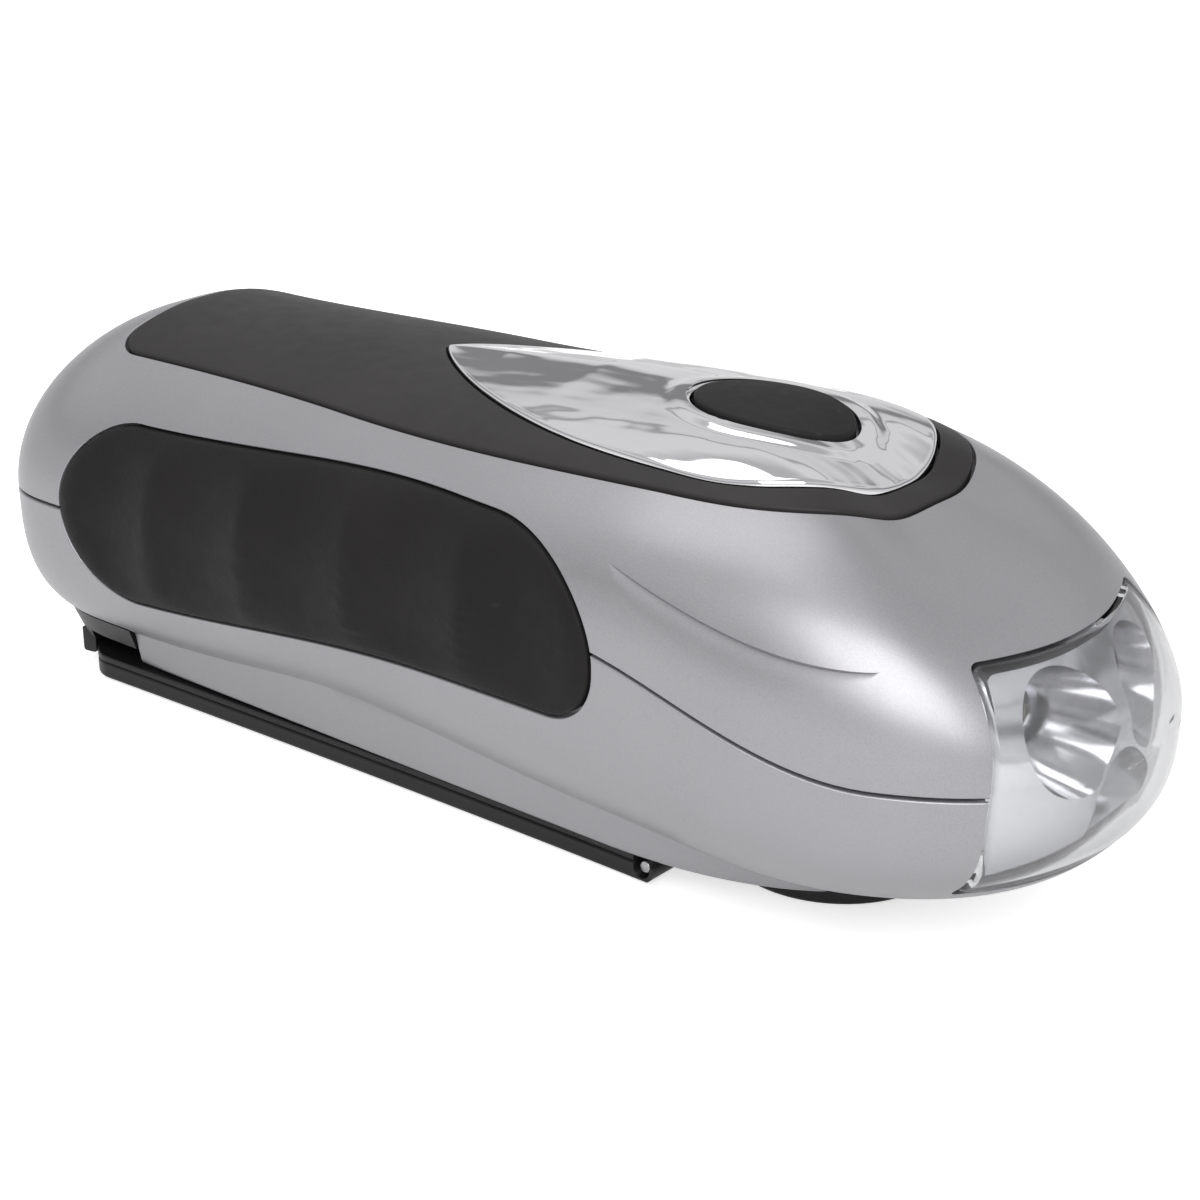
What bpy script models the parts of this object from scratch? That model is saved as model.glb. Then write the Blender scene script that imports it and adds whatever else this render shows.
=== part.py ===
"""Hand-crank rechargeable torch, built as separate solid pieces.

Metres, +X towards the lens, +Z up. The folded crank lever and its hub rest on z = 0.
The housing is a pair of moulded shells. Their outer surface is worked out from one plan
outline and from superelliptic sections that run from the spine to the parting seam.
"""
import math

import bmesh
import bpy

# Clearances and walls
GAP = 0.0003
OVERRUN = 0.0010
WALL = 0.0022
ROUND_STEPS = 16
MERGE_DISTANCE = 0.000001
HALVINGS = 28

# Housing plan outline
NOSE_X = 0.0660
TAIL_X = -0.0660
FRONT_SPINE_X = 0.0260
REAR_SPINE_X = -0.0490
WAIST_X = -0.0140
MID_HALF_WIDTH = 0.0252
REAR_HALF_WIDTH = 0.0240
NOSE_PLAN_POWER = 2.4
TAIL_PLAN_POWER = 2.9
NOSE_STEPS = 11
MID_STEPS = 8
TAIL_STEPS = 6
UPPER_ROWS = 8
LOWER_ROWS = 7

# Housing heights
TOP_Z = 0.0420
TOP_WAIST_DROP = 0.0013
TOP_REAR_DROP = 0.0018
PLATFORM_Z = 0.0030
HULL_FRONT_Z = 0.0032
HULL_REAR_Z = 0.0035
SEAM_TAIL_Z = 0.0215
SEAM_REAR_Z = 0.0220
SEAM_PEAK_Z = 0.0265
SEAM_PEAK_X = 0.0210
SEAM_NOSE_Z = 0.0196
SEAM_NOSE_X = 0.0520

# Powers of the sections, as reach and rise
TOP_SIDE_REAR_POWER = 2.0
TOP_SIDE_FRONT_POWER = 2.45
TOP_NOSE_REACH_POWER = 1.2
TOP_NOSE_RISE_POWER = 2.0
TOP_TAIL_REACH_POWER = 2.1
TOP_TAIL_RISE_POWER = 1.9
LOW_SIDE_REAR_POWER = 3.0
LOW_SIDE_WAIST_POWER = 2.25
LOW_SIDE_FRONT_POWER = 2.9
LOW_NOSE_POWER = 3.0
LOW_TAIL_POWER = 3.4

# Stepped platform under the hull
PLATFORM_TOP_Z = 0.0130
PLATFORM_HALF_WIDTH = 0.0178
PLATFORM_REAR_PINCH = 0.0005
PLATFORM_PINCH_LENGTH = 0.0150
PLATFORM_BEND_X = 0.0200
PLATFORM_FRONT_X = 0.0480
PLATFORM_FRONT_POWER = 2.2
PLATFORM_DRAFT_SHARE = 0.26
PLATFORM_REAR_DRAFT_SHARE = 0.08
PLATFORM_STEPS = 8

# Side grips
GRIP_REAR_X = -0.0494
GRIP_FRONT_X = 0.0250
GRIP_REAR_RADIUS = 0.0105
GRIP_UPPER_RADIUS = 0.0140
GRIP_LOWER_RADIUS = 0.0055
GRIP_REAR_HALF_HEIGHT = 0.0092
GRIP_FRONT_HALF_HEIGHT = 0.0081
GRIP_FRONT_STRAIGHT = 0.0006
GRIP_REAR_Z = 0.0226
GRIP_FRONT_Z = 0.0269
GRIP_BEND_X = 0.0060
GRIP_DEPTH = 0.0011
GRIP_PROUD = 0.0008
GRIP_EDGE_PROUD = 0.0001
GRIP_SCALLOPS = 5
GRIP_SCALLOP_DEPTH = 0.0005
GRIP_STEPS = 7
GRIP_CORNER_STEPS = 4
GRIP_RUN_STEPS = 11
GRIP_RING_SHARES = (0.94, 0.70, 0.35)
GRIP_EDGE_POWER = 8

# Top inlay
INLAY_REAR_X = -0.0512
INLAY_FRONT_X = 0.0438
INLAY_WIDEST_X = 0.0190
INLAY_REAR_HALF_WIDTH = 0.0134
INLAY_HALF_WIDTH = 0.0166
INLAY_FRONT_POWER = 2.8
INLAY_CORNER_RADIUS = 0.0036
INLAY_THICKNESS = 0.0011
INLAY_PROUD = 0.0001
INLAY_STEPS = 9

# Chrome bezel round the button
BEZEL_REAR_X = -0.0136
BEZEL_FRONT_X = 0.0420
BEZEL_WIDEST_X = 0.0260
BEZEL_HALF_WIDTH = 0.0149
BEZEL_FRONT_POWER = 2.3
BEZEL_REAR_POWER = 0.85
BEZEL_EDGE_PROUD = 0.0004
BEZEL_CROWN = 0.0006
BEZEL_COLLAR = 0.0004
BEZEL_COLLAR_WIDTH = 0.0030
BEZEL_STEPS = 11
PAD_RING_SHARES = (0.92, 0.75, 0.50, 0.25)
POCKET_RING_SHARES = (0.75, 0.50, 0.25)
BUTTON_RING_SHARES = (0.90, 0.70, 0.35)
CUTTER_RING_SHARES = (0.60,)
CROWN_POWER = 4
BUTTON_CROWN_POWER = 2

# Power button and the switch under it
BUTTON_X = 0.0261
BUTTON_HALF_LENGTH = 0.0082
BUTTON_HALF_WIDTH = 0.0058
BUTTON_RISE = 0.0010
BUTTON_CROWN = 0.0005
BUTTON_TRAVEL = 0.0008
STEM_RADIUS = 0.0020
SWITCH_HALF_WIDTH = 0.0030
SWITCH_HEIGHT = 0.0032
PLUNGER_RADIUS = 0.0016
PLUNGER_HEIGHT = 0.0006
BOARD_DROP = 0.0075
BOARD_THICKNESS = 0.0012
BOARD_REAR_X = -0.0060
BOARD_FRONT_X = 0.0380
BOARD_HALF_WIDTH = 0.0090
POST_RADIUS = 0.0016
POST_MARGIN = 0.0025

# Crescent relief on each shoulder
CRESCENT_REAR_X = 0.0255
CRESCENT_FRONT_X = 0.0510
CRESCENT_REAR_SHARE = 0.516
CRESCENT_FRONT_SHARE = 0.446
CRESCENT_BOW = 0.0003
CRESCENT_WIDTH = 0.0024
CRESCENT_DEPTH = 0.0007
CRESCENT_STEPS = 10
CRESCENT_SWELL_SHARE = 0.7

# Front lens, reflector and light emitters
LENS_TOP_SHARE = 0.442
LENS_TOP_SAG = 0.0002
LENS_LOW_Z = 0.0092
LENS_LOW_RISE = 0.0014
LENS_TOP_HALF_WIDTH = 0.0128
LENS_LOW_HALF_WIDTH = 0.0142
LENS_SIDE_BULGE = 0.0018
LENS_WALL = 0.0018
LENS_CUT_X = 0.0480
LENS_STEPS = 8
REFLECTOR_SETBACK = 0.0150
REFLECTOR_DEPTH = 0.0065
REFLECTOR_MARGIN = 0.0006
CUP_BACK_RADIUS = 0.0028
CUP_FRONT_RADIUS = 0.0062
LED_RADIUS = 0.0025
LED_FLANGE_RADIUS = 0.0029
LED_FLANGE = 0.0009
LED_LENGTH = 0.0078
LED_SPREAD = 0.0062
LED_UPPER_DROP = 0.0065
LED_LOWER_RISE = 0.0055
LED_BOARD_THICKNESS = 0.0014
LED_BOARD_MARGIN = 0.0030

# Crank hub, hinge pin and folding lever
HUB_X = 0.0348
HUB_RADIUS = 0.0108
HUB_EDGE_RADIUS = 0.0007
LEVER_THICKNESS = 0.0027
LUG_HALF_WIDTH = 0.0111
LUG_WAIST_HALF_WIDTH = 0.0080
LUG_STRAIGHT = 0.0030
LUG_TAPER = 0.0040
PIN_X = 0.0244
PIN_RADIUS = 0.00065
PIN_HALF_LENGTH = 0.0152
PIN_NOTCH = 0.0006
LEVER_FRONT_HALF_WIDTH = 0.0168
LEVER_REAR_HALF_WIDTH = 0.0188
LEVER_REAR_INSET = 0.0099
LEVER_CORNER_RADIUS = 0.0040
LEVER_EDGE = 0.0004
LEVER_STEPS = 8
LEVER_TAPER_POWER = 0.5
LEVER_GROOVE = 0.00025
LEVER_GROOVE_LEVEL = 5
HUB_CLEARANCE = 0.0006
KNUCKLE_STEPS = 8
SHAFT_RADIUS = 0.0020

# Winding knob in the lever's tail
KNOB_RADIUS = 0.0032
KNOB_EDGE = 0.0008
KNOB_FLOOR = 0.0008
KNOB_PROUD = 0.0017
RIVET_RADIUS = 0.0010
RIVET_HEAD_RADIUS = 0.0018
RIVET_HEAD = 0.0006

# Tail block and the channel the knob runs in
TAIL_CUT_Z = 0.0077
CHANNEL_CLEARANCE = 0.0004
CHANNEL_FRONT_CLEARANCE = 0.0014
CHANNEL_HEADROOM = 0.0005
BLOCK_Z = 0.0032
BLOCK_FRONT_STOCK = 0.0070
BLOCK_TAPER_SHARE = 0.91
LIP_CLEARANCE = 0.0004
LIP_THICKNESS = 0.0018
LIP_Z = 0.0014
LIP_HALF_ANGLE = math.radians(10.5)
SECTOR_HALF_ANGLE = math.radians(24)
SECTOR_STEPS = 24

# Gear train and generator
TOOTH_MODULE = 0.0006
WHEEL_TEETH = 36
PINION_TEETH = 12
TOOTH_ROOT_SHARE = 0.62
TOOTH_TIP_SHARE = 0.26
TOOTH_RISE_SHARE = 0.9
TOOTH_DROP_SHARE = 1.2
GEAR_Z = 0.0068
DRIVE_GEAR_THICKNESS = 0.0025
IDLER_PINION_HEIGHT = 0.0031
IDLER_WHEEL_THICKNESS = 0.0018
ROTOR_PINION_DROP = 0.0002
ROTOR_PINION_HEIGHT = 0.0022
AXLE_RADIUS = 0.0012
AXLE_SEAT_DEPTH = 0.0008
AXLE_BOSS_RADIUS = 0.0024
BEARING_RADIUS = 0.0045
BEARING_RISE = 0.0008
GEAR_PLATE_Z = 0.0124
GEAR_PLATE_THICKNESS = 0.0010
GEAR_PLATE_REAR_X = -0.0050
GEAR_PLATE_FRONT_X = 0.0290
GEAR_PLATE_HALF_WIDTH = 0.0155
PLATE_POST_X = 0.0245
PLATE_POST_REAR_X = -0.0010
PLATE_POST_Y = 0.0137
PLATE_POST_RADIUS = 0.0018
MAGNET_RADIUS = 0.0080
MAGNET_HEIGHT = 0.0050
MAGNET_LIFT = 0.0008
AIR_GAP = 0.0006
STATOR_THICKNESS = 0.0018
STATOR_OPEN_ANGLE = math.radians(38)
COIL_LENGTH = 0.0040
HUB_SCREW_RADIUS = 0.0008
HUB_SCREW_HEAD_RADIUS = 0.0020
HUB_SCREW_HEAD = 0.0010
HUB_SCREW_LENGTH = 0.0050

# Battery and its cradle
BATTERY_RADIUS = 0.0078
BATTERY_REAR_X = -0.0385
BATTERY_FRONT_X = -0.0205
CRADLE_THICKNESS = 0.0016
CRADLE_HALF_WIDTH = 0.0085
CRADLE_TOP_Z = 0.0110
CRADLE_MARGIN = 0.0030

# Housing screws
REAR_SCREW_X = -0.0410
REAR_SCREW_Y = 0.0140
FRONT_SCREW_X = 0.0440
FRONT_SCREW_Y = 0.0122
SCREW_RADIUS = 0.0011
SCREW_HEAD_RADIUS = 0.0021
SCREW_HEAD = 0.0013
SCREW_BITE = 0.0070
SCREW_SHELF = 0.0030
SCREW_SOCKET_RADIUS = 0.0012
SCREW_SOCKET_DEPTH = 0.0007
BOSS_RADIUS = 0.0035


def mix(start, end, share):
    """Straight blend of two values."""
    return start + (end - start) * share


def ease(share):
    """Smooth step of a share kept between 0 and 1."""
    kept = min(max(share, 0), 1)
    return kept * kept * (3 - 2 * kept)


def make_collections():
    """Collection for the pieces and one for the cutters."""
    found = []
    for name in ("crank_torch", "cutters"):
        group = bpy.data.collections.get(name) or bpy.data.collections.new(name)
        if group.name not in bpy.context.scene.collection.children:
            bpy.context.scene.collection.children.link(group)
        found.append(group)
    return found


def make_material(name, colour, roughness, metallic=0.0):
    """Principled material in one colour."""
    material = bpy.data.materials.new(name)
    material.use_nodes = True
    shader = material.node_tree.nodes["Principled BSDF"]
    shader.inputs["Base Color"].default_value = (*colour, 1.0)
    shader.inputs["Roughness"].default_value = roughness
    shader.inputs["Metallic"].default_value = metallic
    return material


def place(name, mesh, material):
    """Object for a mesh: a piece when it has a material, and a cutter when it has none."""
    obj = bpy.data.objects.new(name, mesh)
    if material is None:
        CUTTERS.objects.link(obj)
        obj.hide_render = True
        obj.display_type = "WIRE"
    else:
        PIECES.objects.link(obj)
        mesh.materials.append(material)
    return obj


def finish_mesh(name, bm):
    """Weld a bmesh, turn its faces outwards and store it as a mesh."""
    bmesh.ops.remove_doubles(bm, verts=bm.verts, dist=MERGE_DISTANCE)
    bmesh.ops.dissolve_degenerate(bm, edges=bm.edges, dist=MERGE_DISTANCE)
    bmesh.ops.recalc_face_normals(bm, faces=bm.faces)
    mesh = bpy.data.meshes.new(name)
    bm.to_mesh(mesh)
    bm.free()
    return mesh


def loft(name, rows, material=None, origin=(0, 0, 0)):
    """Closed skin over rows of points, whose first and last rows fall onto a line or point."""
    bm = bmesh.new()
    grid = []
    for row in rows:
        grid.append([bm.verts.new([a - b for a, b in zip(point, origin)]) for point in row])
    for low, high in zip(grid, grid[1:]):
        for i, corner in enumerate(low):
            j = (i + 1) % len(low)
            bm.faces.new((corner, low[j], high[j], high[i]))
    obj = place(name, finish_mesh(name, bm), material)
    obj.location = origin
    return obj


def prism(name, outline, low, high, material=None, origin=(0, 0, 0), axis="Z"):
    """Flat filled curve pulled between two levels of an axis, as a mesh."""
    curve = bpy.data.curves.new(name, "CURVE")
    curve.dimensions = "2D"
    curve.fill_mode = "BOTH"
    curve.extrude = (high - low) / 2
    spline = curve.splines.new("POLY")
    spline.points.add(len(outline) - 1)
    for point, (a, b) in zip(spline.points, outline):
        point.co = (a, b, 0, 1)
    spline.use_cyclic_u = True
    drawn = bpy.data.objects.new(name, curve)
    CUTTERS.objects.link(drawn)
    bm = bmesh.new()
    bm.from_mesh(bpy.data.meshes.new_from_object(drawn))
    bpy.data.objects.remove(drawn)
    level = mix(low, high, 0.5)
    for vert in bm.verts:
        a, b, rise = vert.co
        point = (a, b, level + rise) if axis == "Z" else (level + rise, a, b)
        vert.co = [p - o for p, o in zip(point, origin)]
    obj = place(name, finish_mesh(name, bm), material)
    obj.location = origin
    return obj


def cylinder(name, radius, low, high, centre, material=None, axis="Z", steps=ROUND_STEPS, top_radius=None):
    """Round bar or cone between two levels of an axis."""
    bm = bmesh.new()
    bmesh.ops.create_cone(
        bm,
        cap_ends=True,
        segments=steps,
        radius1=radius,
        radius2=radius if top_radius is None else top_radius,
        depth=high - low,
    )
    obj = place(name, finish_mesh(name, bm), material)
    middle = mix(low, high, 0.5)
    if axis == "Z":
        obj.location = (centre[0], centre[1], middle)
    elif axis == "X":
        obj.location = (middle, centre[0], centre[1])
        obj.rotation_euler = (0, math.pi / 2, 0)
    else:
        obj.location = (centre[0], middle, centre[1])
        obj.rotation_euler = (-math.pi / 2, 0, 0)
    return obj


def turned(name, profile, place_at, material=None, along_x=False, steps=ROUND_STEPS, ring=False):
    """Profile of radius and height, listed down its outer side, turned about its own axis."""
    bm = bmesh.new()
    points = [bm.verts.new((radius, 0, height)) for radius, height in profile]
    for upper, lower in zip(points, points[1:] + points[:1] if ring else points[1:]):
        bm.edges.new((upper, lower))
    mesh = bpy.data.meshes.new(name)
    bm.to_mesh(mesh)
    bm.free()
    obj = place(name, mesh, material)
    screw = obj.modifiers.new("turn", "SCREW")
    screw.steps = steps
    screw.render_steps = steps
    screw.use_merge_vertices = True
    screw.merge_threshold = MERGE_DISTANCE
    obj.location = place_at
    if along_x:
        obj.rotation_euler = (0, math.pi / 2, 0)
    return obj


def box(name, low, high, material=None):
    """Upright box between two corners."""
    bm = bmesh.new()
    bmesh.ops.create_cube(bm, size=1.0)
    for vert in bm.verts:
        vert.co = [mix(a, b, 0.5) + c * (b - a) for a, b, c in zip(low, high, vert.co)]
    return place(name, finish_mesh(name, bm), material)


def change(obj, other, operation):
    """Exact Boolean of an object with another one."""
    step = obj.modifiers.new(operation.lower(), "BOOLEAN")
    step.operation = operation
    step.solver = "EXACT"
    step.object = other
    return obj


def cut(obj, *others):
    """Take the cutters out of an object."""
    for other in others:
        change(obj, other, "DIFFERENCE")
    return obj


def join(obj, *others):
    """Fuse guides with an object."""
    for other in others:
        change(obj, other, "UNION")
    return obj


def whole_loop(half):
    """Closed loop from a half that starts and ends on the centre plane."""
    mirrored = [(x, -y, *rest) for x, y, *rest in reversed(half[1:-1])]
    return list(half) + mirrored


def half_width(x):
    """Half width of the housing between the two ends of the spine."""
    return mix(REAR_HALF_WIDTH, MID_HALF_WIDTH, ease((x - REAR_SPINE_X) / (WAIST_X - REAR_SPINE_X)))


def spine_share(x):
    """How far along the spine a place lies, from its rear end."""
    return (x - REAR_SPINE_X) / (FRONT_SPINE_X - REAR_SPINE_X)


def top_z(x):
    """Height of the crown above the spine."""
    if x < WAIST_X:
        drop = mix(TOP_REAR_DROP, TOP_WAIST_DROP, ease((x - REAR_SPINE_X) / (WAIST_X - REAR_SPINE_X)))
    else:
        drop = TOP_WAIST_DROP * (1 - ease((x - WAIST_X) / (FRONT_SPINE_X - WAIST_X)))
    return TOP_Z - drop


def hull_z(x):
    """Height of the hull's lowest line under the spine."""
    return mix(HULL_REAR_Z, HULL_FRONT_Z, ease(spine_share(x)))


def seam_z(x):
    """Height of the wavy parting seam."""
    if x < REAR_SPINE_X:
        return mix(SEAM_REAR_Z, SEAM_TAIL_Z, ease((REAR_SPINE_X - x) / (REAR_SPINE_X - TAIL_X)))
    if x < SEAM_PEAK_X:
        return mix(SEAM_REAR_Z, SEAM_PEAK_Z, ease((x - REAR_SPINE_X) / (SEAM_PEAK_X - REAR_SPINE_X)))
    return mix(SEAM_PEAK_Z, SEAM_NOSE_Z, ease((x - SEAM_PEAK_X) / (SEAM_NOSE_X - SEAM_PEAK_X)))


def stations(inset):
    """Half outline from nose to tail as x, y, nose share and tail share."""
    nose_length = NOSE_X - FRONT_SPINE_X - inset
    tail_length = REAR_SPINE_X - TAIL_X - inset
    half = []
    for k in range(NOSE_STEPS):
        turn = math.pi / 2 * k / NOSE_STEPS
        x = FRONT_SPINE_X + nose_length * math.cos(turn) ** (2 / NOSE_PLAN_POWER)
        y = (MID_HALF_WIDTH - inset) * math.sin(turn) ** (2 / NOSE_PLAN_POWER)
        half.append((x, y, ease(math.cos(turn) ** 2), 0))
    for k in range(MID_STEPS + 1):
        x = mix(FRONT_SPINE_X, REAR_SPINE_X, k / MID_STEPS)
        half.append((x, half_width(x) - inset, 0, 0))
    for k in range(TAIL_STEPS - 1, -1, -1):
        turn = math.pi / 2 * k / TAIL_STEPS
        x = REAR_SPINE_X - tail_length * math.cos(turn) ** (2 / TAIL_PLAN_POWER)
        y = (REAR_HALF_WIDTH - inset) * math.sin(turn) ** (2 / TAIL_PLAN_POWER)
        half.append((x, y, 0, ease(math.cos(turn) ** 2)))
    return half


def spine_x(x):
    """Nearest place on the spine."""
    return min(max(x, REAR_SPINE_X), FRONT_SPINE_X)


def upper_powers(x, nose, tail):
    """Reach and rise powers of the upper section through a place on the outline."""
    side = mix(TOP_SIDE_REAR_POWER, TOP_SIDE_FRONT_POWER, spine_share(spine_x(x)))
    reach = side + (TOP_NOSE_REACH_POWER - side) * nose + (TOP_TAIL_REACH_POWER - side) * tail
    rise = side + (TOP_NOSE_RISE_POWER - side) * nose + (TOP_TAIL_RISE_POWER - side) * tail
    return reach, rise


def lower_power(x, nose, tail):
    """Power of the lower section through a place on the outline."""
    centre = spine_x(x)
    if centre < WAIST_X:
        share = ease((centre - REAR_SPINE_X) / (WAIST_X - REAR_SPINE_X))
        side = mix(LOW_SIDE_REAR_POWER, LOW_SIDE_WAIST_POWER, share)
    else:
        share = ease((centre - WAIST_X) / (FRONT_SPINE_X - WAIST_X))
        side = mix(LOW_SIDE_WAIST_POWER, LOW_SIDE_FRONT_POWER, share)
    return side + (LOW_NOSE_POWER - side) * nose + (LOW_TAIL_POWER - side) * tail


def upper_row(half, turn, inset):
    """Loop of the upper skin at one turn from the seam, 0, to the crown, a right angle."""
    row = []
    for x, y, nose, tail in half:
        reach_power, rise_power = upper_powers(x, nose, tail)
        reach = abs(math.cos(turn)) ** (2 / reach_power) if turn < math.pi / 2 else 0
        rise = math.sin(turn) ** (2 / rise_power)
        centre = spine_x(x)
        height = mix(seam_z(x), top_z(centre) - inset, rise)
        row.append((mix(centre, x, reach), y * reach, height))
    return whole_loop(row)


def lower_row(half, turn, inset):
    """Loop of the lower skin at one turn from the seam, 0, to the keel, a right angle."""
    row = []
    for x, y, nose, tail in half:
        power = lower_power(x, nose, tail)
        reach = abs(math.cos(turn)) ** (2 / power) if turn < math.pi / 2 else 0
        drop = math.sin(turn) ** (2 / power)
        centre = spine_x(x)
        height = mix(seam_z(x), hull_z(centre) + inset, drop)
        row.append((mix(centre, x, reach), y * reach, height))
    return whole_loop(row)


def edge_rows(half, shift):
    """Seam loop moved up or down, and the same loop fallen onto the centre plane."""
    edge = whole_loop([(x, y, seam_z(x) + shift) for x, y, nose, tail in half])
    return edge, [(x, 0, z) for x, y, z in edge]


def quarter_turns(count):
    """Turns from just past the seam to the crown or keel."""
    return [math.pi / 2 * (k + 1) / count for k in range(count)]


def upper_solid(name, inset, shift, material=None):
    """Upper half of the housing as a full solid."""
    half = stations(inset)
    edge, closing = edge_rows(half, shift)
    rows = [upper_row(half, turn, inset) for turn in quarter_turns(UPPER_ROWS)]
    return loft(name, [closing, edge, *rows], material)


def lower_solid(name, inset, shift, material=None):
    """Lower half of the housing as a full solid."""
    half = stations(inset)
    edge, closing = edge_rows(half, shift)
    rows = [lower_row(half, turn, inset) for turn in quarter_turns(LOWER_ROWS)]
    return loft(name, [closing, edge, *rows], material)


def whole_solid(name, inset, material=None):
    """Both halves of the housing as one full solid."""
    half = stations(inset)
    below = [lower_row(half, t, inset) for t in reversed(quarter_turns(LOWER_ROWS))]
    above = [upper_row(half, t, inset) for t in quarter_turns(UPPER_ROWS)]
    return loft(name, below + [edge_rows(half, 0)[0]] + above, material)


def outline_place(x, y):
    """Reach from the spine, outline x, nose share and tail share of a place in the plan."""
    if x > FRONT_SPINE_X:
        along = ((x - FRONT_SPINE_X) / (NOSE_X - FRONT_SPINE_X)) ** NOSE_PLAN_POWER
        across = (abs(y) / MID_HALF_WIDTH) ** NOSE_PLAN_POWER
        reach = (along + across) ** (1 / NOSE_PLAN_POWER)
        return reach, FRONT_SPINE_X + (x - FRONT_SPINE_X) / reach, ease(along / (along + across)), 0
    if x < REAR_SPINE_X:
        along = ((REAR_SPINE_X - x) / (REAR_SPINE_X - TAIL_X)) ** TAIL_PLAN_POWER
        across = (abs(y) / REAR_HALF_WIDTH) ** TAIL_PLAN_POWER
        reach = (along + across) ** (1 / TAIL_PLAN_POWER)
        return reach, REAR_SPINE_X - (REAR_SPINE_X - x) / reach, 0, ease(along / (along + across))
    return abs(y) / half_width(x), x, 0, 0


def crown_z(x, y):
    """Height of the upper skin over a place in the plan."""
    reach, edge_x, nose, tail = outline_place(x, y)
    reach_power, rise_power = upper_powers(edge_x, nose, tail)
    rise = max(1 - min(reach, 1) ** reach_power, 0) ** (1 / rise_power)
    return mix(seam_z(edge_x), top_z(spine_x(x)), rise)


def keel_z(x, y):
    """Height of the lower skin under a place in the plan."""
    reach, edge_x, nose, tail = outline_place(x, y)
    power = lower_power(edge_x, nose, tail)
    drop = max(1 - min(reach, 1) ** power, 0) ** (1 / power)
    return mix(seam_z(edge_x), hull_z(spine_x(x)), drop)


def flank_y(x, z):
    """Half width of the outer skin at a length and a height, found by halving."""
    low, high = 0, MID_HALF_WIDTH
    for _ in range(HALVINGS):
        middle = mix(low, high, 0.5)
        if outline_place(x, middle)[0] < 1 and keel_z(x, middle) < z < crown_z(x, middle):
            low = middle
        else:
            high = middle
    return low


def pad(name, half, floor, ceiling, shares, centre_ends, material=None, origin=(0, 0, 0)):
    """Plate whose outline is a mirrored half and whose faces follow two height functions."""
    def ring(share, height):
        row = []
        for x, y in half:
            centre = min(max(x, centre_ends[0]), centre_ends[1])
            px, py = mix(centre, x, share), y * share
            row.append((px, py, height(px, py, share)))
        return whole_loop(row)

    steps = [1, *shares, 0]
    rows = [ring(share, floor) for share in reversed(steps)] + [ring(share, ceiling) for share in steps]
    return loft(name, rows, material, origin)


def inlay_half(grow):
    """Half outline of the top inlay from its rounded front to its rear corners."""
    half = []
    length = INLAY_FRONT_X - INLAY_WIDEST_X + grow
    width = INLAY_HALF_WIDTH + grow
    for k in range(INLAY_STEPS):
        turn = math.pi / 2 * k / INLAY_STEPS
        x = INLAY_WIDEST_X + length * math.cos(turn) ** (2 / INLAY_FRONT_POWER)
        half.append((x, width * math.sin(turn) ** (2 / INLAY_FRONT_POWER)))
    corner_x = INLAY_REAR_X + INLAY_CORNER_RADIUS
    for k in range(INLAY_STEPS):
        share = k / (INLAY_STEPS - 1)
        y = mix(width, INLAY_REAR_HALF_WIDTH + grow, ease(share))
        half.append((mix(INLAY_WIDEST_X, corner_x, share), y))
    radius = INLAY_CORNER_RADIUS
    for k in range(1, 4):
        turn = math.pi / 2 * k / 3
        x = corner_x - (radius + grow) * math.sin(turn)
        half.append((x, INLAY_REAR_HALF_WIDTH - radius + (radius + grow) * math.cos(turn)))
    half.append((INLAY_REAR_X - grow, mix(0, INLAY_REAR_HALF_WIDTH - radius, 0.5)))
    half.append((INLAY_REAR_X - grow, 0))
    return half


def bezel_half(grow):
    """Half outline of the teardrop bezel from its blunt front to its pointed rear."""
    half = []
    length = BEZEL_FRONT_X - BEZEL_WIDEST_X + grow
    for k in range(BEZEL_STEPS):
        turn = math.pi / 2 * k / BEZEL_STEPS
        x = BEZEL_WIDEST_X + length * math.cos(turn) ** (2 / BEZEL_FRONT_POWER)
        half.append((x, (BEZEL_HALF_WIDTH + grow) * math.sin(turn) ** (2 / BEZEL_FRONT_POWER)))
    for k in range(BEZEL_STEPS + 1):
        share = math.sin(math.pi / 2 * k / BEZEL_STEPS)
        x = mix(BEZEL_WIDEST_X, BEZEL_REAR_X - grow, share)
        half.append((x, (BEZEL_HALF_WIDTH + grow) * (1 - share * share) ** BEZEL_REAR_POWER))
    half[-1] = (BEZEL_REAR_X - grow, 0)
    return half


def button_half(grow):
    """Half outline of the oval button."""
    half = []
    for k in range(BEZEL_STEPS + 1):
        turn = math.pi * k / BEZEL_STEPS
        y = (BUTTON_HALF_WIDTH + grow) * math.sin(turn) if k < BEZEL_STEPS else 0
        half.append((BUTTON_X + (BUTTON_HALF_LENGTH + grow) * math.cos(turn), y))
    return half


def raised(offset, crown=0, power=CROWN_POWER):
    """Height function at an offset from the crown of the housing, swelling to the middle."""
    return lambda x, y, share: crown_z(x, y) + offset + crown * (1 - share ** power)


def inlay_ends():
    """Ends of the line that the rings of the inlay shrink to."""
    return INLAY_REAR_X + INLAY_REAR_HALF_WIDTH, INLAY_WIDEST_X


def bezel_ends():
    """Ends of the line that the rings of the bezel shrink to."""
    return mix(BEZEL_REAR_X, BEZEL_WIDEST_X, 0.5), BEZEL_WIDEST_X


def button_ends():
    """Ends of the line that the rings of the button shrink to."""
    slack = BUTTON_HALF_LENGTH - BUTTON_HALF_WIDTH
    return BUTTON_X - slack, BUTTON_X + slack


def bezel_height(x, y, share):
    """Upper face of the bezel, with a raised collar round the button."""
    along = (x - BUTTON_X) / BUTTON_HALF_LENGTH
    across = y / BUTTON_HALF_WIDTH
    spread = (math.hypot(along, across) - 1) * BUTTON_HALF_WIDTH / BEZEL_COLLAR_WIDTH
    collar = BEZEL_COLLAR * (1 - ease(abs(spread)))
    return crown_z(x, y) + BEZEL_EDGE_PROUD + BEZEL_CROWN * (1 - share ** CROWN_POWER) + collar


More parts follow.
